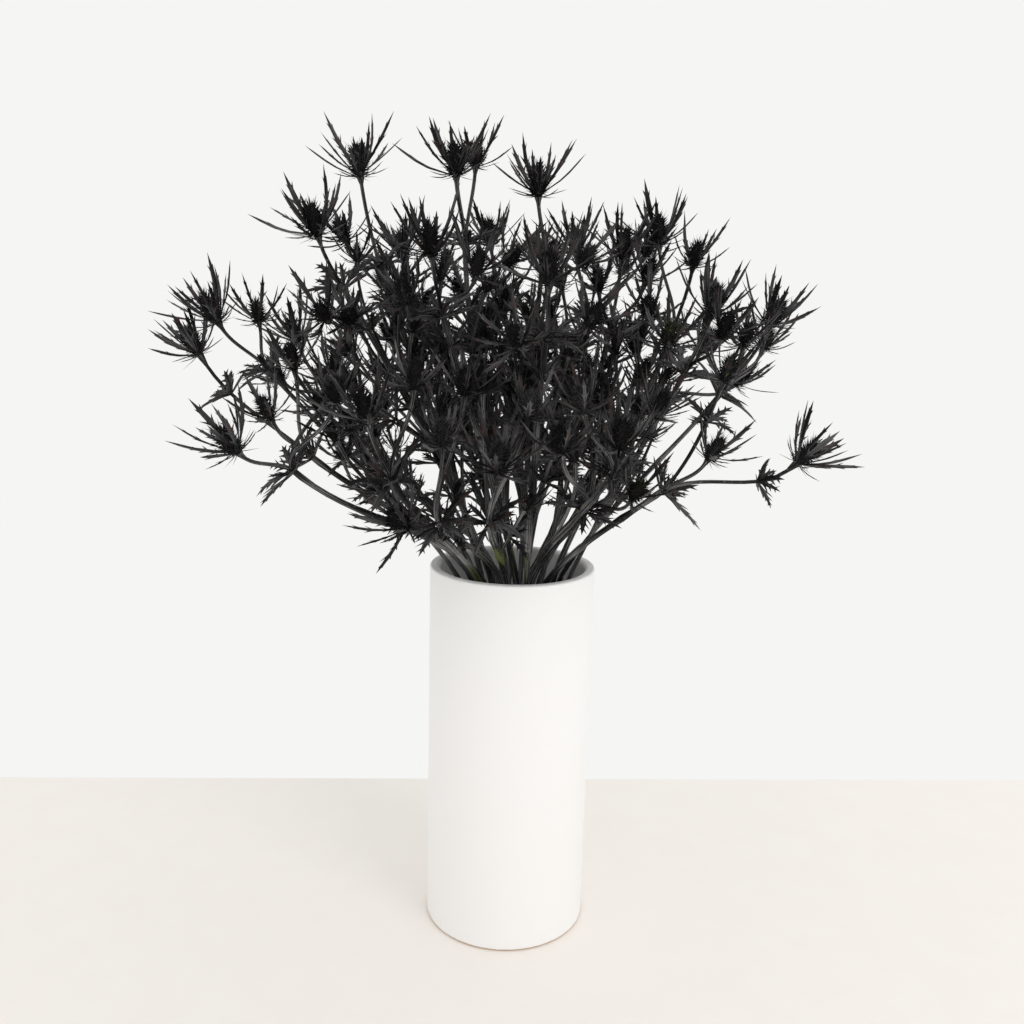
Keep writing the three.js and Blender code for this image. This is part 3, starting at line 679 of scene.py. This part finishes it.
def bract_shape(master, head, angle, tilt, length, number, width):
    axes, scale, seed = head["axes"], head["scale"], head["seed"]
    axis = axes[2]
    height = (1.7 + (90 - tilt) * 0.04 + drawn(2, seed, number + 80)) * scale * MM
    root = head["place"] + axis * height + around(axes, angle) * COLLAR_RADIUS * scale * MM
    tilt = math.radians(tilt + drawn(24, seed, number))
    bow = math.radians(1 + 11 * chance(seed, number + 20))
    length *= scale * (1 + drawn(0.3, seed, number + 40))
    out = around(axes, angle + drawn(0.3, seed, number + 60))
    first = blend(axis, math.cos(tilt + bow), out, math.sin(tilt + bow))
    second = blend(axis, math.cos(tilt - bow), out, math.sin(tilt - bow))
    knee = root + first * length * 0.45
    path = Path(rounded([root, knee, knee + second * length * 0.55]), around(axes, angle + math.pi / 2))
    width *= scale * (1 + drawn(0.4, seed, number + 70))
    return lay(master, path, width, seed=seed + number)


def cone_shape(head):
    seed, scale = head["seed"], head["scale"]
    axis = head["axes"][2]
    length = CONE_LENGTH * scale * MM * (0.75 + 0.25 * head["ripeness"])
    width = scale * MM * head["ripeness"]
    turn = around(head["axes"], 2 * math.pi * chance(seed, 500))
    root = head["place"] + axis * 1.2 * MM
    path = Path([root, root + axis * length * 0.5, root + axis * length], turn)
    missed = 0.7 if chance(seed, 510) > 0.95 else 0
    return lay(CONES[seed % 2], path, width, seed=seed, undyed=[(0.5, 0), (1, missed)])


def head_shapes(head):
    shapes = [cone_shape(head)]
    count = head["bracts"]
    step = math.pi / count
    for k in range(count):
        angle = 2 * math.pi * (k + 0.5) / count
        is_inner = k % 2 == 0
        # Which blade, how many steps round, tilt in degrees, share of the length, chance number, half width.
        rows = [
            (BRACTS[k % 2], 0, 28 if is_inner else 56, 1, k, BRACT_HALF_WIDTH),
            (BRACTS[1 - k % 2], 1, 48 if is_inner else 32, 0.88, k + 7, BETWEEN_HALF_WIDTH),
            (NARROW_BRACT, 1.5, 76, 0.46, k + 21, NARROW_HALF_WIDTH),
        ]
        if is_inner and head["ripeness"] < 1:
            rows.append((NARROW_BRACT, 0.5, 12, 0.95, k + 14, NARROW_HALF_WIDTH))
        for master, turn, tilt, length, number, width in rows:
            aim = angle + turn * step
            shapes.append(bract_shape(master, head, aim, tilt, BRACT_LENGTH * length, number, width))
    return shapes


def lifted(point):
    """The same point, but well above the rim where it hangs over the vase's mouth."""
    lowest = LEAF_LOWEST if math.hypot(point[0], point[1]) < MOUTH_CLEAR else VASE_HEIGHT
    return np.array((point[0], point[1], max(point[2], lowest)))


def leaf_ring(centre, axes, radius, count, scale, seed, tilt=66, first=0, turn=0.5):
    shapes = []
    for k in range(count):
        number = first + k
        angle = 2 * math.pi * (k + turn) / count
        out = around(axes, angle)
        root = centre + out * radius
        own_tilt = math.radians(tilt + drawn(24, seed, number + 80))
        length = LEAF_LENGTH * scale * (1 + drawn(0.4, seed, number + 90))
        droop = 0.4 * chance(seed, number + 95)
        way = blend(axes[2], math.cos(own_tilt), out, math.sin(own_tilt))
        knee = root + way * length * 0.38
        bend = knee + blend(way, 1, UP, -droop) * length * 0.3
        tip = bend + blend(way, 1, UP, -2 * droop) * length * 0.32
        path = Path(rounded([root, knee, lifted(bend), lifted(tip)]), around(axes, angle + math.pi / 2))
        width = LEAF_HALF_WIDTH * (0.4 + 0.6 * scale) * (1 + drawn(0.3, seed, number + 97))
        shapes.append(lay(LEAVES[number % 2], path, width, seed=seed + 0.37 * number))
    return shapes


def fork_leaves(spray):
    centre = spray["fork"] - spray["lean"] * WHORL_OFFSET * MM
    place = (centre, axes_at(spray["stem"], 1, spray["across"]), COLLAR_RADIUS * MM)
    number = spray["number"]
    shapes = leaf_ring(*place, 5, 0.95, number)
    shapes += leaf_ring(*place, 5, 0.6, number, tilt=50, first=14, turn=1.0)
    if spray["is_steep"]:
        shapes += leaf_ring(*place, 5, 0.5, number, tilt=74, first=8, turn=0.2)
    return shapes


def joint_leaves(spray):
    """Leaves that clasp the old joints lower down on a steep stem. Leaning ones have lost them."""
    shapes = []
    seed = spray["number"]
    for order, joint in enumerate(LEAF_JOINTS if spray["is_steep"] else ()):
        share = joint + drawn(0.1, seed, joint)
        axes = axes_at(spray["stem"], share, spray["across"])
        centre = curve_point(spray["stem"], share)
        first = 20 + 10 * order
        shapes += leaf_ring(centre, axes, STEM_RADIUS * 0.8, 4, 0.8, seed, tilt=46, first=first)
    return shapes


def branch_leaves(head):
    share = (head["steps"] - 1) / head["steps"]
    axes = axes_at(head["corners"], share, head["axes"][0])
    centre = curve_point(head["corners"], share) + axes[2] * WHORL_OFFSET * MM
    count = 4 if head["ripeness"] == 1 else 3
    place = (centre, axes, TWIG_RADIUS, count)
    shapes = leaf_ring(*place, 0.75, head["seed"])
    shapes += leaf_ring(*place, 0.5, head["seed"], tilt=48, first=4, turn=1.0)
    return shapes


# %% [markdown]
# ## Side shoots
#
# The middle of the bunch is so dense because most stems also carry thin side shoots, each with a small unripe
# head that looks out to the side. They leave the stem on its upper side and run up beside it. Steep stems
# have six or eight of them, and those that lean out have few or none, as the photograph shows.

# %% Lay the side shoots
# Where a shoot starts and ends along its stem, how far aside it ends, and the scale of its head.
SHOOTS = [
    (0.3, 0.78, 26 * MM, 0.75),
    (0.08, 0.62, 20 * MM, 0.62),
    (0.15, 0.66, 36 * MM, 0.74),
    (0.45, 0.84, 18 * MM, 0.64),
    (0.05, 0.7, 28 * MM, 0.7),
    (0.25, 0.6, 40 * MM, 0.74),
    (0.4, 0.88, 42 * MM, 0.75),
    (0.62, 1.02, 30 * MM, 0.68),
]
SHOOT_SEEDS = 400
SHOOT_RIPENESS = 0.75
# Small heads that fill gaps between the stems: their places in millimetres, by the spray they grow on.
FILLING_HEADS = {
    "top_right": [(18, -16, 446)], "tall_left": [(-100, 5, 400), (-112, 20, 385)],
    "upper_left": [(-100, -25, 388), (-118, -15, 370), (-92, -70, 372)], "left_front": [(-95, -60, 345)],
    "right_mid": [(58, -45, 392), (76, -40, 378)], "right_top": [(42, -5, 398), (62, -20, 402)],
    "right_crown": [(78, 0, 398)], "front_high": [(28, -70, 392)], "back_top_left": [(-85, 40, 395)],
}
FILLING_START = 0.4
FILLING_SCALE = 0.78


def plan_shoot(spray, seed, start_share, end, out, scale):
    start = curve_point(spray["stem"], start_share)
    ahead = curve_way(spray["stem"], start_share)
    way = towards(start, end)
    axis = blend(blend(way, 1 - SKYWARD, UP, SKYWARD), 1, out, 0.9 * chance(seed, 5))
    scale *= 1 + drawn(0.2, seed, 4)
    return plan_branch(
        spray, start, blend(ahead, 1, way, 1), end, axis, 2,
        is_long=chance(seed, 3) > 0.2, scale=scale, bracts=5, ripeness=SHOOT_RIPENESS, seed=seed,
    )


def plan_shoots(spray):
    stem = spray["stem"]
    first_seed = SHOOT_SEEDS + spray["number"] * 10
    shoots = []
    for order, (start_share, end_share, aside, scale) in enumerate(SHOOTS[:spray["shoots"]]):
        seed = first_seed + order
        axes = axes_at(stem, start_share, spray["across"])
        out = around(axes, order * GOLDEN_ANGLE + 2 * math.pi * chance(seed, 1))
        if out[2] < 0:
            out = -out
        span = np.linalg.norm(stem[3] - stem[0])
        end = curve_point(stem, min(end_share, 1)) + spray["lean"] * span * max(end_share - 1, 0)
        end = end + out * aside * (1 + drawn(0.4, seed, 2))
        shoots.append(plan_shoot(spray, seed, start_share, end, out, scale))
    first_seed += len(SHOOTS)
    for order, place in enumerate(FILLING_HEADS.get(spray["name"], ())):
        end = np.array(place) * MM
        out = towards(curve_point(stem, 0.7), end)
        shoots.append(plan_shoot(spray, first_seed + order, FILLING_START, end, out, FILLING_SCALE))
    return shoots


def spray_shape(spray):
    shapes = [stem_shape(spray)]
    shapes += fork_leaves(spray)
    shapes += joint_leaves(spray)
    for head in spray["heads"] + plan_shoots(spray):
        shapes.append(branch_shape(head))
        shapes += head_shapes(head)
        if head["is_long"]:
            shapes += branch_leaves(head)
    return join(shapes)


# %% [markdown]
# ## From arrays to Blender pieces
#
# Each spray becomes one mesh that stands for its coarse node. Three marks go with its points: how far a point
# stands out of a groove, where it was before its piece was bent, and whether the dye missed it. The finishes
# read them, so that streaks follow every blade and stem without a seam. The first mark also places painted
# highlight on the crests and painted shade in the grooves.

# %% Build the sprays
SPRAY_SMOOTH = math.radians(40)
MARKS = [("crest", "FLOAT", "value"), ("undyed", "FLOAT", "value"), ("straight", "FLOAT_VECTOR", "vector")]


def piece_from(shape, name):
    mesh = bpy.data.meshes.new(name)
    mesh.vertices.add(len(shape.points))
    mesh.vertices.foreach_set("co", shape.points.ravel())
    mesh.loops.add(len(shape.corners))
    mesh.loops.foreach_set("vertex_index", shape.corners)
    mesh.polygons.add(len(shape.sizes))
    mesh.polygons.foreach_set("loop_start", np.cumsum(shape.sizes) - shape.sizes)
    for finish in FINISHES:
        mesh.materials.append(bpy.data.materials.get(finish) or bpy.data.materials.new(finish))
    mesh.polygons.foreach_set("material_index", shape.finish)
    mesh.update(calc_edges=True)
    for mark, kind, entry in MARKS:
        values = shape.marks[mark].astype(np.float32).ravel()
        mesh.attributes.new(mark, kind, "POINT").data.foreach_set(entry, values)
    piece = bpy.data.objects.new(name, mesh)
    bpy.context.scene.collection.objects.link(piece)
    return piece


start_clean()
triangles = 0
for plan in plans:
    piece = piece_from(spray_shape(plan), "holly_" + plan["name"])
    piece.select_set(True)
    bpy.context.view_layer.objects.active = piece
    bpy.ops.object.shade_smooth_by_angle(angle=SPRAY_SMOOTH)
    piece.select_set(False)
    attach(piece, "root")
    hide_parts("spray_" + plan["name"])
    triangles += sum(face.loop_total - 2 for face in piece.data.polygons)
print("all sprays together:", triangles, "triangles")

# %% [markdown]
# ## The vase
#
# The vase is a slip-cast cylinder. A cylinder primitive is inset and pushed in to make the bore. The rim has
# a small bevel on the outside and a wide round one into the bore, and bevels round the foot and the inner
# corner as casting and sponging do.

# %% Model the vase
VASE_RADIUS = 55 * MM
VASE_WALL = 7 * MM
VASE_BORE = VASE_RADIUS - VASE_WALL
VASE_SIDES = 192
VASE_SMOOTH = math.radians(35)
RING_NEAR = 0.2 * MM


def start_cylinder(sides, radius, low, high):
    """Starts an upright cylinder, in edit mode and with its top face selected."""
    start_clean()
    middle = (0, 0, (low + high) / 2)
    bpy.ops.mesh.primitive_cylinder_add(vertices=sides, radius=radius, depth=high - low, location=middle)
    bpy.ops.object.transform_apply()
    bpy.ops.object.mode_set(mode="EDIT")
    pick("FACE", lambda face: face.normal.z > 0.9)


def bevel_ring(radius, height, width, segments):
    def is_near(point):
        return math.hypot(math.hypot(point.co.x, point.co.y) - radius, point.co.z - height) < RING_NEAR

    count = pick("EDGE", lambda edge: all(is_near(point) for point in edge.verts))
    bpy.ops.mesh.bevel(offset=width, offset_type="OFFSET", segments=segments, profile=0.5)
    print(f"bevelled {count} edges at height {height:.3f} m")


def end_piece(name):
    bpy.ops.object.mode_set(mode="OBJECT")
    bpy.ops.object.shade_smooth_by_angle(angle=VASE_SMOOTH)
    bpy.context.object.name = name
    return bpy.context.object


start_cylinder(VASE_SIDES, VASE_RADIUS, 0, VASE_HEIGHT)
bpy.ops.mesh.inset(thickness=VASE_WALL)
extrude((0, 0, VASE_FLOOR - VASE_HEIGHT))
bevel_ring(VASE_BORE, VASE_FLOOR, 4 * MM, 6)
bevel_ring(VASE_RADIUS, 0, 2 * MM, 5)
bevel_ring(VASE_RADIUS, VASE_HEIGHT, 1.4 * MM, 5)
bevel_ring(VASE_BORE, VASE_HEIGHT, 3 * MM, 8)
vase = end_piece("vase_body")
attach(vase, "root")
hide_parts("vase")
print("vase", len(vase.data.polygons), "faces")

# %% [markdown]
# ## The water
#
# Water climbs the wall of its vase by a millimetre or two. A cylinder's top is inset and lowered three times,
# less each time, so the surface has that rim.

# %% Model the water
WATER_RADIUS = 47.6 * MM
WATER_TOP = 150 * MM
WATER_BOTTOM = VASE_FLOOR + 0.3 * MM
WATER_SIDES = 96
MENISCUS = 1.2 * MM

start_cylinder(WATER_SIDES, WATER_RADIUS, WATER_BOTTOM, WATER_TOP)
for width, drop in ((0.8 * MM, 0.6), (1.2 * MM, 0.3), (2 * MM, 0.1)):
    bpy.ops.mesh.inset(thickness=width)
    bpy.ops.transform.translate(value=(0, 0, -MENISCUS * drop))
bevel_ring(WATER_RADIUS, WATER_BOTTOM, 4 * MM, 4)
water = end_piece("water_fill")
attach(water, "root")
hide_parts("water")

# %% [markdown]
# ## Mixing finishes
#
# A finish is a graph of nodes, and sums on its values read best as sums. `Signal` wraps a node's output, so
# that + - and * add the Math nodes, and `Finish.node` adds any other node: its settings first, then the
# values or links of its sockets. Colours are mixed with Mix nodes, because a Math node would turn them grey.

# %% Signals and finishes
class Signal:
    """A node's output, on which sums can be written."""

    def __init__(self, finish, socket):
        self.finish = finish
        self.socket = socket

    def math(self, operation, first, second):
        return self.finish.node("ShaderNodeMath", {"operation": operation}, {0: first, 1: second})

    def __add__(self, other):
        return self.math("ADD", self, other)

    def __mul__(self, other):
        return self.math("MULTIPLY", self, other)

    __radd__, __rmul__ = __add__, __mul__

    def __sub__(self, other):
        return self.math("SUBTRACT", self, other)

    def __rsub__(self, other):
        return self.math("SUBTRACT", other, self)


class Finish:
    """A material with a Principled shader, and the nodes that feed it."""

    def __init__(self, name, **constants):
        self.material = bpy.data.materials.get(name) or bpy.data.materials.new(name)
        self.material.use_nodes = True
        self.tree = self.material.node_tree
        self.shader = self.tree.nodes["Principled BSDF"]
        for socket, value in constants.items():
            self.shader.inputs[socket.replace("_", " ")].default_value = value

    def node(self, kind, settings=None, inputs=None, output=0):
        made = self.tree.nodes.new(kind)
        for name, value in (settings or {}).items():
            setattr(made, name, value)
        for key, value in (inputs or {}).items():
            self.feed(made.inputs[key], value)
        return Signal(self, made.outputs[output])

    def feed(self, socket, value):
        if isinstance(value, Signal):
            self.tree.links.new(value.socket, socket)
        else:
            socket.default_value = value

    def set(self, name, value):
        self.feed(self.shader.inputs[name], value)

    def place(self):
        return self.node("ShaderNodeTexCoord", output="Object")

    def height(self, place):
        return self.node("ShaderNodeSeparateXYZ", None, {"Vector": place}, output="Z")

    def mark(self, name, output="Fac"):
        return self.node("ShaderNodeAttribute", {"attribute_name": name}, output=output)

    def noise(self, vector, scale, detail=3.0):
        inputs = {"Vector": vector, "Scale": scale, "Detail": detail, "Roughness": 0.55}
        return self.node("ShaderNodeTexNoise", None, inputs)

    def ramp(self, value, low, high):
        """0 below low, 1 above high, and smooth between."""
        settings = {"interpolation_type": "SMOOTHSTEP"}
        return self.node("ShaderNodeMapRange", settings, {"Value": value, "From Min": low, "From Max": high})

    def mix(self, share, first, second):
        settings = {"data_type": "RGBA"}
        return self.node("ShaderNodeMix", settings, {"Factor": share, 6: first, 7: second}, output=2)

    def bump(self, height, distance, strength):
        inputs = {"Height": height, "Distance": distance, "Strength": strength}
        return self.node("ShaderNodeBump", None, inputs)

    def dress(self, piece):
        piece.data.materials.clear()
        piece.data.materials.append(self.material)


# %% [markdown]
# ## The dyed plant
#
# The plant was dyed black after it was picked. Where the dye wore thin it turned charcoal grey, in long
# streaks that run with the fibres. The same grey is also painted on the ribs, edges and points as a
# highlight. The grooves are left near black as painted shade, so each stem shows fine pale lines. All this
# grey is paler low down and darker higher up. A broad mottle shifts each blade a little warmer or cooler, and
# here and there the dye has missed and the old olive green shows.

# %% Dyed finishes
GREEN = (0.095, 0.120, 0.030, 1)
PALER_BELOW = 280 * MM
DARKER_ABOVE = 420 * MM
FIBRE_STRETCH = (1, 1, 0.045)


def dyed(name, deep, worn_and_highlight, wear_and_highlight, warm, fibre, roughness, upper_darkening=0.0):
    """The last argument is how much less of the pale grey the upper parts get than the parts near the mouth.
    """
    finish = Finish(name, Specular_IOR_Level=0.22)
    height = finish.height(finish.place())
    # The pale grey, painted highlight included, is full below the lower height and is cut by the last
    # argument above the upper one.
    wear_and_highlight = wear_and_highlight * (1 - finish.ramp(height, PALER_BELOW, DARKER_ABOVE) * upper_darkening)
    straight = finish.mark("straight", "Vector")
    crest = finish.mark("crest")
    inputs = {0: straight, 1: FIBRE_STRETCH}
    fibres = finish.noise(finish.node("ShaderNodeVectorMath", {"operation": "MULTIPLY"}, inputs), fibre)
    mottle = finish.noise(straight, 70, detail=2.0)
    flecks = finish.ramp(finish.noise(straight, 420, detail=1.0), 0.62, 0.78)
    broad = finish.noise(straight, 16, detail=1.0)
    # Share of the pale grey. Through the crest mark it is painted highlight on ribs, blade edges and floret
    # tips, and the grooves stay dark as painted shade. The fibre and broad noise give real streaks of worn
    # dye.
    worn_and_highlight_share = finish.ramp(crest * 0.28 + fibres * 1.0 + (broad - 0.5) * 1.6, 0.53, 1.0) * wear_and_highlight
    colour = finish.mix(worn_and_highlight_share, deep, worn_and_highlight)
    colour = finish.mix(finish.ramp(mottle, 0.5, 0.7) * 0.6, colour, warm)
    colour = finish.mix(flecks * 0.35, colour, worn_and_highlight)
    specks = finish.noise(straight, 240, detail=2.0)
    uneven = (specks - 0.5) * 1.4 + (fibres - 0.5) * 3.0
    green = finish.ramp(finish.mark("undyed") + uneven, 0.5, 1.0) * 0.85
    finish.set("Base Color", finish.mix(green, colour, GREEN))
    finish.set("Roughness", roughness + (mottle - 0.5) * 0.3)
    finish.set("Normal", finish.bump(fibres, 0.4 * MM, 0.6))


# The worn grey is the colour of worn dye and is also used as painted highlight. The deep black is the dye,
# and it is also the painted shade in the grooves.
dyed("dyed_stem", deep=(0.005, 0.005, 0.006, 1), worn_and_highlight=(0.280, 0.277, 0.282, 1), wear_and_highlight=0.95,
     warm=(0.040, 0.033, 0.030, 1), fibre=900, roughness=0.55, upper_darkening=0.5)
dyed("dyed_leaf", deep=(0.002, 0.002, 0.003, 1), worn_and_highlight=(0.125, 0.123, 0.128, 1), wear_and_highlight=0.85,
     warm=(0.062, 0.035, 0.033, 1), fibre=1100, roughness=0.6)
dyed("dyed_floret", deep=(0.002, 0.002, 0.003, 1), worn_and_highlight=(0.085, 0.083, 0.087, 1), wear_and_highlight=0.7,
     warm=(0.016, 0.012, 0.012, 1), fibre=1500, roughness=0.7)

# %% [markdown]
# ## Glaze and water
#
# The glaze is a matt warm white, a little uneven as dipped glazes are. A thin tan band, rougher than the
# glaze, runs round the very foot. The water is clear, with a faint tint from the dye.

# %% Glaze and water finishes
BAND_BELOW = 0.9 * MM
WHITE_ABOVE = 1.7 * MM
FOOT_TAN = (0.60, 0.45, 0.30, 1)

glaze = Finish("matt_glaze", Specular_IOR_Level=0.35)
place = glaze.place()
cloud = glaze.noise(place, 14, detail=4.0)
pits = glaze.noise(place, 900, detail=2.0)
waver = glaze.noise(place, 260, detail=1.0)
# A thin tan band round the foot, with a wavy upper edge.
foot_band = 1 - glaze.ramp(glaze.height(place) + (waver - 0.5) * 0.8 * MM, BAND_BELOW, WHITE_ABOVE)
white = glaze.mix(cloud, (0.92, 0.912, 0.90, 1), (0.94, 0.937, 0.932, 1))
glaze.set("Base Color", glaze.mix(foot_band, white, FOOT_TAN))
glaze.set("Roughness", 0.44 + cloud * 0.14 + foot_band * 0.3)
glaze.set("Normal", glaze.bump(cloud * 0.6 * MM + pits * 0.02 * MM, 1.0, 0.5))
glaze.dress(vase)

clear = Finish("vase_water", Roughness=0.02, IOR=1.333, Transmission_Weight=1.0)
ripple = clear.noise(clear.place(), 60, detail=1.0)
clear.set("Base Color", clear.mix(ripple, (0.84, 0.87, 0.87, 1), (0.90, 0.92, 0.92, 1)))
clear.set("Normal", clear.bump(ripple, 0.1 * MM, 0.2))
clear.dress(water)

# %% [markdown]
# ## Floor, light and camera
#
# A pale table top ends behind the vase and fades at its other sides. A bright soft room and one broad light
# from the front right light it. The camera looks slightly down, from about 0.64 m in front, and is rolled by
# a degree and a half.

# %% Set the stage
TABLE_SIZE = 3
TABLE_BACK = 0.192
TABLE_TURN = math.radians(2.4)
TABLE_WHOLE = 0.7
TABLE_GONE = 1.4

start_clean()
bpy.ops.mesh.primitive_plane_add(size=TABLE_SIZE, location=(0, -TABLE_SIZE / 2, 0))
bpy.ops.object.transform_apply()
bpy.ops.transform.rotate(value=-TABLE_TURN, orient_axis="Z", center_override=(0, 0, 0))
bpy.ops.transform.translate(value=(0, TABLE_BACK, 0))
bpy.ops.object.transform_apply()
floor = bpy.context.object
floor.name = "floor"
pale = Finish("pale_floor", Roughness=0.7, Specular_IOR_Level=0.2)
place = pale.place()
grain = pale.noise(place, 30)
pale.set("Base Color", pale.mix(grain, (0.93, 0.885, 0.84, 1), (0.955, 0.915, 0.875, 1)))
distance = pale.node("ShaderNodeVectorMath", {"operation": "LENGTH"}, {0: place}, output="Value")
pale.set("Alpha", 1 - pale.ramp(distance, TABLE_WHOLE, TABLE_GONE))
pale.dress(floor)
floor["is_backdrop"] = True

# %% Light the stage
LIGHT_PLACE = Vector((1.1, -1.3, 1.3))
LIGHT_AIM = Vector((0, 0, 0.25))

world = bpy.data.worlds.new("bright_room")
world.use_nodes = True
background = world.node_tree.nodes["Background"]
background.inputs["Color"].default_value = (0.915, 0.915, 0.905, 1)
background.inputs["Strength"].default_value = 1.0
bpy.context.scene.world = world
bpy.context.scene.view_settings.view_transform = "Standard"
light_data = bpy.data.lights.new("key_light", "AREA")
light_data.shape = "DISK"
light_data.size = 1.0
light_data.energy = 6.8
light = bpy.data.objects.new("key_light", light_data)
light.location = LIGHT_PLACE
light.rotation_euler = (LIGHT_AIM - LIGHT_PLACE).to_track_quat("-Z", "Y").to_euler()
bpy.context.scene.collection.objects.link(light)

# %% Place the camera
CAMERA_PLACE = Vector((-0.005, -0.639, 0.418))
CAMERA_PITCH = math.radians(11.54)
CAMERA_YAW = math.radians(0.34)
CAMERA_ROLL = math.radians(1.45)
FOCAL_PIXELS = 985
IMAGE_PIXELS = 1024
SENSOR_WIDTH = 36

ahead = Vector((
    math.sin(CAMERA_YAW) * math.cos(CAMERA_PITCH),
    math.cos(CAMERA_YAW) * math.cos(CAMERA_PITCH),
    -math.sin(CAMERA_PITCH),
))
level = Vector((math.cos(CAMERA_YAW), -math.sin(CAMERA_YAW), 0))
above = level.cross(ahead)
right = level * math.cos(CAMERA_ROLL) + above * math.sin(CAMERA_ROLL)
top = above * math.cos(CAMERA_ROLL) - level * math.sin(CAMERA_ROLL)
camera_data = bpy.data.cameras.new("camera")
camera_data.sensor_width = SENSOR_WIDTH
camera_data.lens = FOCAL_PIXELS / IMAGE_PIXELS * SENSOR_WIDTH
camera_data.clip_end = 100
camera = bpy.data.objects.new("camera", camera_data)
camera.matrix_world = Matrix.Translation(CAMERA_PLACE) @ Matrix((right, top, -ahead)).transposed().to_4x4()
bpy.context.scene.collection.objects.link(camera)
bpy.context.scene.camera = camera

# %% [markdown]
# ## Size
#
# The finer pieces pass the imported model's box by a few needle points only. The packed model's box is
# printed at the start, and here the script prints how far the finished pieces' box stands off it.

# %% Print the sizes and finish
low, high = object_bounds()
for name, ours, theirs in (("low", low, cad_low), ("high", high, cad_high)):
    print(name, "corner stands off the packed model by", [round(a - b, 4) for a, b in zip(ours, theirs)])
